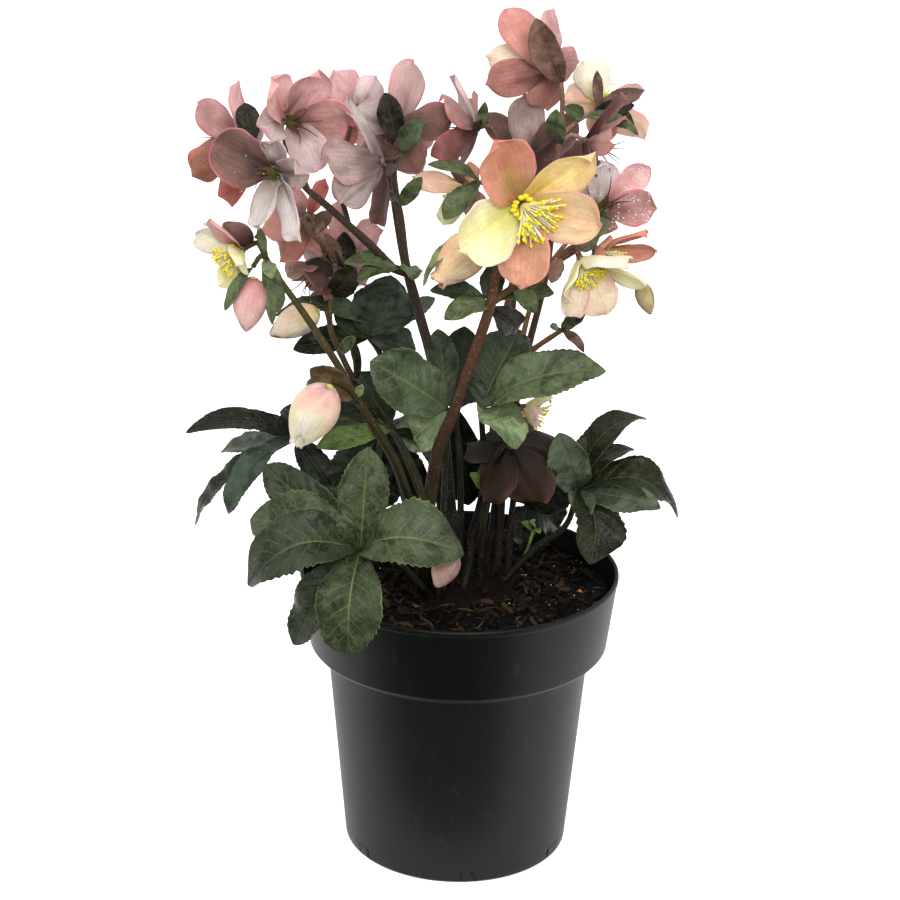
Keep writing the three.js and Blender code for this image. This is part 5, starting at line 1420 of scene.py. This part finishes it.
class Looks(Nodes):
    """One material's nodes."""

    def __init__(self, name, **values):
        self.material = bpy.data.materials.new(name)
        self.material.use_nodes = True
        super().__init__(self.material.node_tree)
        self.set(**values)

    def set(self, **values):
        """Sets or links the shader's inputs; an underscore stands for the space in a name."""
        for key, value in values.items():
            self.put(self.tree.nodes["Principled BSDF"].inputs[key.replace("_", " ")], value)

    def attribute(self, name, output="Color"):
        return self.node("Attribute", attribute_name=name)[output]

    def blade(self):
        """Where a point lies on its blade: across, along, and the blade's size."""
        return self.split(self.attribute("blade", "Vector"))

    def place(self, scale=1.0, stretch=(1, 1, 1), warp=None):
        """The point in object space, in metres, scaled; warp is a noise to add, as its scale and amount."""
        point = self.node("TexCoord")["Object"]
        if warp:
            size, amount = warp
            noise = self.node("TexNoise", {"Vector": point, "Scale": size})["Color"]
            values = {0: noise, 1: (amount,) * 3, 2: point}
            point = self.node("VectorMath", values, operation="MULTIPLY_ADD")[0]
        return self.node("VectorMath", {0: point, 1: [scale * k for k in stretch]}, operation="MULTIPLY")[0]

    def noise(self, detail, roughness, scale, distortion=0.0, **place):
        """Cloudy noise; what place() takes stretches or warps it."""
        values = {"Vector": self.place(**place), "Scale": scale, "Detail": detail,
                  "Roughness": roughness, "Distortion": distortion}
        return self.node("TexNoise", values)[0]

    def cells(self, feature="DISTANCE_TO_EDGE", **place):
        """Distance to the nearest edge between cells or, for "F1", to the middle of the nearest cell."""
        values = {"Vector": self.place(**place), "Scale": 1.0}
        return self.node("TexVoronoi", values, feature=feature)["Distance"]

    def mix(self, factor, a, b):
        a, b = ((*value, 1) if isinstance(value, (tuple, np.ndarray)) else value for value in (a, b))
        return self.node("Mix", {0: factor, 6: a, 7: b}, data_type="RGBA")[2]

    def scaled(self, colour, amount):
        """A colour times a number."""
        return self.node("VectorMath", {0: colour, "Scale": amount}, operation="SCALE")[0]

    def bump(self, height, distance, strength=1.0):
        """Bends the surface's normal as the height does; distance is in mm."""
        values = {"Height": height, "Distance": distance * MM, "Strength": strength}
        self.set(Normal=self.node("Bump", values)[0])


def leaf_looks(name, under=False):
    """Leathery blade with midrib, side veins, a net of fine veins, marbling and a pale margin."""
    looks = Looks(name, Specular_IOR_Level=0.12 if under else 0.14)
    tint, vein = looks.attribute("tint"), looks.attribute("vein")
    across, along, size = looks.blade()
    away = looks.math("ABSOLUTE", across)
    is_blade = looks.ramp(size, 0.0, 0.02)

    clouds = looks.noise(5, 0.65, 110)
    relief = looks.noise(3, 0.5, 260)
    blotch = looks.ramp(looks.noise(6, 0.66, 44, 1.2), 0.46, 0.58)
    colour = looks.scaled(tint, looks.fit(clouds, 1.1, looks.fit(relief, 0.6, 0.18)))
    colour = looks.mix(looks.times(blotch, 0.15 if under else 0.82), colour, looks.scaled(tint, 0.34))

    coarse_net = looks.ramp(looks.cells(scale=250, warp=(420, 0.0016)), 0.085, 0.01)
    fine_net = looks.ramp(looks.cells(scale=620, warp=(700, 0.0010)), 0.09, 0.02)
    net = looks.most(coarse_net, looks.times(fine_net, 0.45))
    net = looks.times(net, looks.times(clouds, 0.24))
    slant = looks.fit(away, -0.20, along)
    wander = looks.times(looks.noise(2, 0.5, 60), 0.05)
    ribs = looks.lines(looks.times(looks.plus(slant, wander), looks.times(size, 15.0)), 0.085)
    halo = looks.most(looks.times(looks.ramp(away, 0.16, 0.02), 0.5),
                      looks.times(looks.ramp(ribs, 0.0, 0.9), looks.ramp(away, 0.9, 0.2)))
    ribs = looks.times(ribs, looks.ramp(away, 1.0, 0.35), 0.26)
    fading = looks.fit(looks.ramp(along, 1.0, 0.1), 0.45, 0.20)
    middle = looks.times(looks.ramp(away, 0.045, 0.015), fading)
    margin = looks.ramp(looks.fit(looks.noise(2, 0.5, 400), 0.02, away), 0.965, 0.992)
    margin = looks.times(margin, looks.ramp(size, 0.0, 0.05), 0.5)
    veins = looks.times(looks.most(looks.most(ribs, net), looks.most(middle, margin)), is_blade)

    lit = looks.times(halo, looks.times(is_blade, 0.0 if under else 0.25))
    colour = looks.mix(lit, colour, looks.scaled(tint, 1.5))
    colour = looks.mix(veins, colour, vein)
    rare = looks.ramp(looks.noise(2, 0.5, 300), 0.60, 0.72)
    specks = looks.times(looks.ramp(looks.cells("F1", scale=900), 0.22, 0.08), looks.times(rare, 0.5))
    looks.set(Base_Color=looks.mix(specks, colour, linear(LEAF_SPECKS)))
    looks.set(Roughness=looks.fit(clouds, 0.25, 0.5 if under else 0.20))
    height = looks.fit(veins, 0.5 if under else -0.55, looks.times(clouds, 0.5))
    looks.bump(looks.fit(relief, 1.1, height), 0.9)
    return looks.material


def sepal_looks():
    """Soft matte sepal with fine veins that run from its foot to its tip, and smoky patches."""
    looks = Looks("sepal", Specular_IOR_Level=0.15, Subsurface_Weight=0.5,
                  Subsurface_Radius=(1.0, 0.88, 0.82), Subsurface_Scale=0.0022)
    tint, vein = looks.attribute("tint"), looks.attribute("vein")
    across, along, _size = looks.blade()
    soft = looks.noise(4, 0.6, 150)
    fine = looks.noise(5, 0.65, 800)
    spread = looks.plus(across, looks.fit(looks.noise(3, 0.5, 120), 0.22, -0.11))
    big = looks.lines(looks.times(spread, 4.5), 0.10)
    small = looks.lines(looks.fit(spread, 12.0, looks.times(along, 1.5)), 0.16)
    net = looks.ramp(looks.cells(scale=420, warp=(300, 0.0018)), 0.09, 0.01)
    small = looks.most(looks.times(small, 0.30), looks.times(net, 0.30))
    veins = looks.most(looks.times(big, 0.72), small)
    veins = looks.times(veins, looks.fit(soft, 0.9, 0.25))
    colour = looks.scaled(tint, looks.plus(looks.fit(soft, 0.60, 0.52), looks.times(fine, 0.44)))
    smoke = looks.ramp(looks.noise(5, 0.62, 85, 0.6), 0.42, 0.66)
    colour = looks.mix(looks.times(smoke, 0.50), colour, vein)
    looks.set(Base_Color=looks.mix(veins, colour, vein))
    looks.set(Roughness=looks.fit(soft, 0.25, 0.38))
    looks.bump(looks.fit(veins, -0.7, looks.times(fine, 0.3)), 0.36)
    return looks.material


def stem_looks():
    """Smooth waxy stem with green patches, pale specks and long faint streaks."""
    looks = Looks("stem", Specular_IOR_Level=0.15)
    tint = looks.attribute("tint")
    streaks = looks.noise(4, 0.6, 900, stretch=(1, 1, 0.12))
    clouds = looks.noise(4, 0.6, 70)
    colour = looks.scaled(tint, looks.fit(clouds, 0.7, looks.fit(streaks, 0.7, 0.3)))
    green = looks.times(looks.ramp(looks.noise(3, 0.5, 42), 0.52, 0.68), 0.45)
    colour = looks.mix(green, colour, looks.mix(0.5, looks.scaled(tint, 1.1), linear(STEM_GREEN)))
    dots = looks.ramp(looks.cells("F1", stretch=(640, 640, 400)), 0.34, 0.14)
    some = looks.ramp(looks.noise(2, 0.5, 350), 0.38, 0.52)
    pale = looks.mix(0.15, looks.scaled(tint, 3.0), linear(STEM_SPECKS))
    looks.set(Base_Color=looks.mix(looks.times(dots, some, 0.62), colour, pale))
    looks.set(Roughness=looks.fit(clouds, 0.25, 0.46))
    looks.bump(looks.plus(streaks, looks.times(dots, -0.2)), 0.22)
    return looks.material


def organ_looks():
    """Stamens, nectaries and pods: soft and a little translucent, coloured by their tint."""
    looks = Looks("organ", Roughness=0.46, Subsurface_Weight=0.2, Subsurface_Radius=(1.0, 0.8, 0.3),
                  Subsurface_Scale=0.001)
    grain = looks.noise(4, 0.6, 1500)
    looks.set(Base_Color=looks.scaled(looks.attribute("tint"), looks.fit(grain, 0.6, 0.7)))
    looks.bump(grain, 0.15)
    return looks.material


def pot_looks():
    """Charcoal plastic: fine even grain, faint dust, a soft gloss, and a greyer body below the band, which is a
    painted reflection of the bright floor.
    """
    looks = Looks("pot plastic", Specular_IOR_Level=0.17)
    # Painted reflection: below the band the pot turns to the lighter body colour.
    body = looks.ramp(looks.split(looks.place())[2], (BODY_TOP_Z + 2) * MM, BODY_TOP_Z * MM)
    tint = looks.mix(body, looks.attribute("tint"), linear(POT_BODY_PAINTED_REFLECTION))
    clouds = looks.noise(5, 0.6, 14)
    grain = looks.noise(3, 0.6, 2600)
    dust = looks.ramp(looks.noise(6, 0.7, 120, stretch=(1, 1, 0.5)), 0.56, 0.80)
    colour = looks.scaled(tint, looks.fit(clouds, 0.25, 0.86))
    looks.set(Base_Color=looks.mix(looks.times(dust, 0.10), colour, linear(POT_DUST)))
    looks.set(Roughness=looks.plus(looks.fit(clouds, 0.10, 0.36), looks.times(grain, 0.10)))
    looks.bump(grain, 0.05, 0.6)
    return looks.material


def bark_looks():
    """Shredded bark and compost."""
    looks = Looks("bark mix", Specular_IOR_Level=0.08)
    fibre = looks.noise(7, 0.7, 520, warp=(180, 0.006))
    clouds = looks.noise(4, 0.6, 75)
    shade = looks.fit(clouds, 0.6, looks.fit(fibre, 1.5, -0.05))
    colour = looks.scaled(looks.attribute("tint"), shade)
    light = looks.times(looks.ramp(fibre, 0.64, 0.84), 0.16)
    looks.set(Base_Color=looks.mix(light, colour, linear(BARK_FIBRES)))
    looks.set(Roughness=looks.fit(fibre, 0.3, 0.65))
    looks.bump(looks.plus(fibre, clouds), 1.0)
    return looks.material


def litter_looks():
    looks = Looks("straw and grains", Roughness=0.6)
    grain = looks.noise(4, 0.6, 1300)
    looks.set(Base_Color=looks.scaled(looks.attribute("tint"), looks.fit(grain, 0.9, 0.55)))
    looks.bump(grain, 0.2)
    return looks.material


def crown_looks():
    """Old wood with fibres that run up it."""
    looks = Looks("old crown", Roughness=0.8, Specular_IOR_Level=0.08)
    fibre = looks.noise(6, 0.7, 620, stretch=(1, 1, 0.3))
    clouds = looks.noise(4, 0.6, 110)
    shade = looks.plus(looks.fit(fibre, 1.1, 0.1), looks.times(clouds, 0.6))
    looks.set(Base_Color=looks.scaled(looks.attribute("tint"), shade))
    looks.bump(looks.plus(fibre, clouds), 0.9)
    return looks.material


def water_looks():
    looks = Looks("water drop", Roughness=0.03, Base_Color=WHITE, IOR=1.33, Transmission_Weight=0.45)
    looks.bump(looks.noise(2, 0.5, 900), 0.02)
    return looks.material


def floor_looks():
    looks = Looks("floor", Roughness=0.9, Specular_IOR_Level=0.1, Emission_Color=WHITE,
                  Emission_Strength=FLOOR_GLOW)
    looks.set(Base_Color=looks.mix(looks.noise(2, 0.5, 3), *FLOOR_TONES))
    return looks.material


# ------------------------------------------------------------------ floor, light and camera
def floor():
    """A white light-table floor; the light it throws up at the plant is the world's lower half."""
    corners = [(x * FLOOR_REACH, y * FLOOR_REACH, 0) for x, y in ((-1, -1), (1, -1), (1, 1), (-1, 1))]
    made = plain_object("floor", corners, [(0, 1, 2, 3)])
    made.data.materials.append(floor_looks())
    made.visible_diffuse = False
    made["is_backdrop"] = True


def dark_card():
    """A black card on the floor before the pot. Only gloss shows it: it keeps the pot's front dark."""
    looks = Looks("card", Roughness=1.0, Specular_IOR_Level=0.0, Base_Color=BLACK)
    made = plain_object("card", CARD_CORNERS, [(0, 1, 2, 3)])
    made.data.materials.append(looks.material)
    made.visible_camera = made.visible_diffuse = made.visible_shadow = False
    made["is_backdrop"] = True


def lamp(name, kind, place, aim, power, **settings):
    """A light at place, pointed at aim."""
    data = bpy.data.lights.new(name, kind)
    data.energy = power
    for key, value in settings.items():
        setattr(data, key, value)
    made = placed(name, data)
    made.location = place
    made.rotation_euler = (Vector(aim) - Vector(place)).to_track_quat("-Z", "Y").to_euler()


def world():
    """A pale studio: bright above, behind and at both sides, dimmer below and at the camera's side."""
    made = bpy.data.worlds.new("studio")
    bpy.context.scene.world = made
    made.use_nodes = True
    studio = Nodes(made.node_tree)
    _x, depth, height = studio.split(studio.node("TexCoord")["Generated"])
    low = studio.ramp(height, -0.25, 0.25, WORLD_LOW, 1.0)
    high = studio.ramp(height, 0.2, 1.0, 1.0, WORLD_HIGH)
    front = studio.ramp(depth, -0.6, 0.6, WORLD_FRONT, 1.0)
    background = made.node_tree.nodes["Background"].inputs
    studio.put(background["Strength"], studio.times(low, high, front))
    studio.put(background["Color"], WHITE)


def camera():
    data = bpy.data.cameras.new("camera")
    data.lens, data.sensor_width, data.shift_x = CAMERA_LENS, CAMERA_SENSOR, CAMERA_SHIFT
    data.clip_start, data.clip_end = CAMERA_CLIP
    made = placed("camera", data)
    made.location = CAMERA_PLACE
    made.rotation_euler = (math.radians(90 - CAMERA_DOWN), 0, 0)
    bpy.context.scene.camera = made


# ------------------------------------------------------------------ the whole plant
def main():
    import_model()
    cad_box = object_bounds()
    looks = {"sepal": sepal_looks(), "organ": organ_looks(), "water": water_looks()}
    leaf_top, leaf_low, stem_skin = leaf_looks("leaf top"), leaf_looks("leaf underside", True), stem_looks()
    bark = bark_looks()
    pot(pot_looks())
    mix_body(bark)
    for name, count, low, high in CHIPS:
        chips(name, count, low, high, bark)
    litter(litter_looks())
    crown(crown_looks())
    for name in STEMS:
        stem(name, [stem_skin, leaf_top, leaf_low])
    for name in LEAVES:
        leaf(name, [leaf_top, leaf_low, stem_skin])
    sprout(leaf_top)
    for name in FLOWERS:
        flower(name, looks)
    for name in BUDS:
        bud(name, looks)
    floor()
    dark_card()
    world()
    lamp("overhead", "SUN", (0, 0, 0), OVERHEAD_AIM, OVERHEAD_STRENGTH, angle=math.radians(OVERHEAD_SPREAD))
    lamp("key light", "AREA", KEY_PLACE, KEY_AIM, KEY_POWER, shape="SQUARE", size=KEY_SIZE)
    camera()
    bpy.context.scene.view_settings.view_transform = "Standard"
    sizes = {"cad": cad_box, "visual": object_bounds()}
    sizes = {key: [[round(float(v), 5) for v in corner] for corner in box] for key, box in sizes.items()}


main()
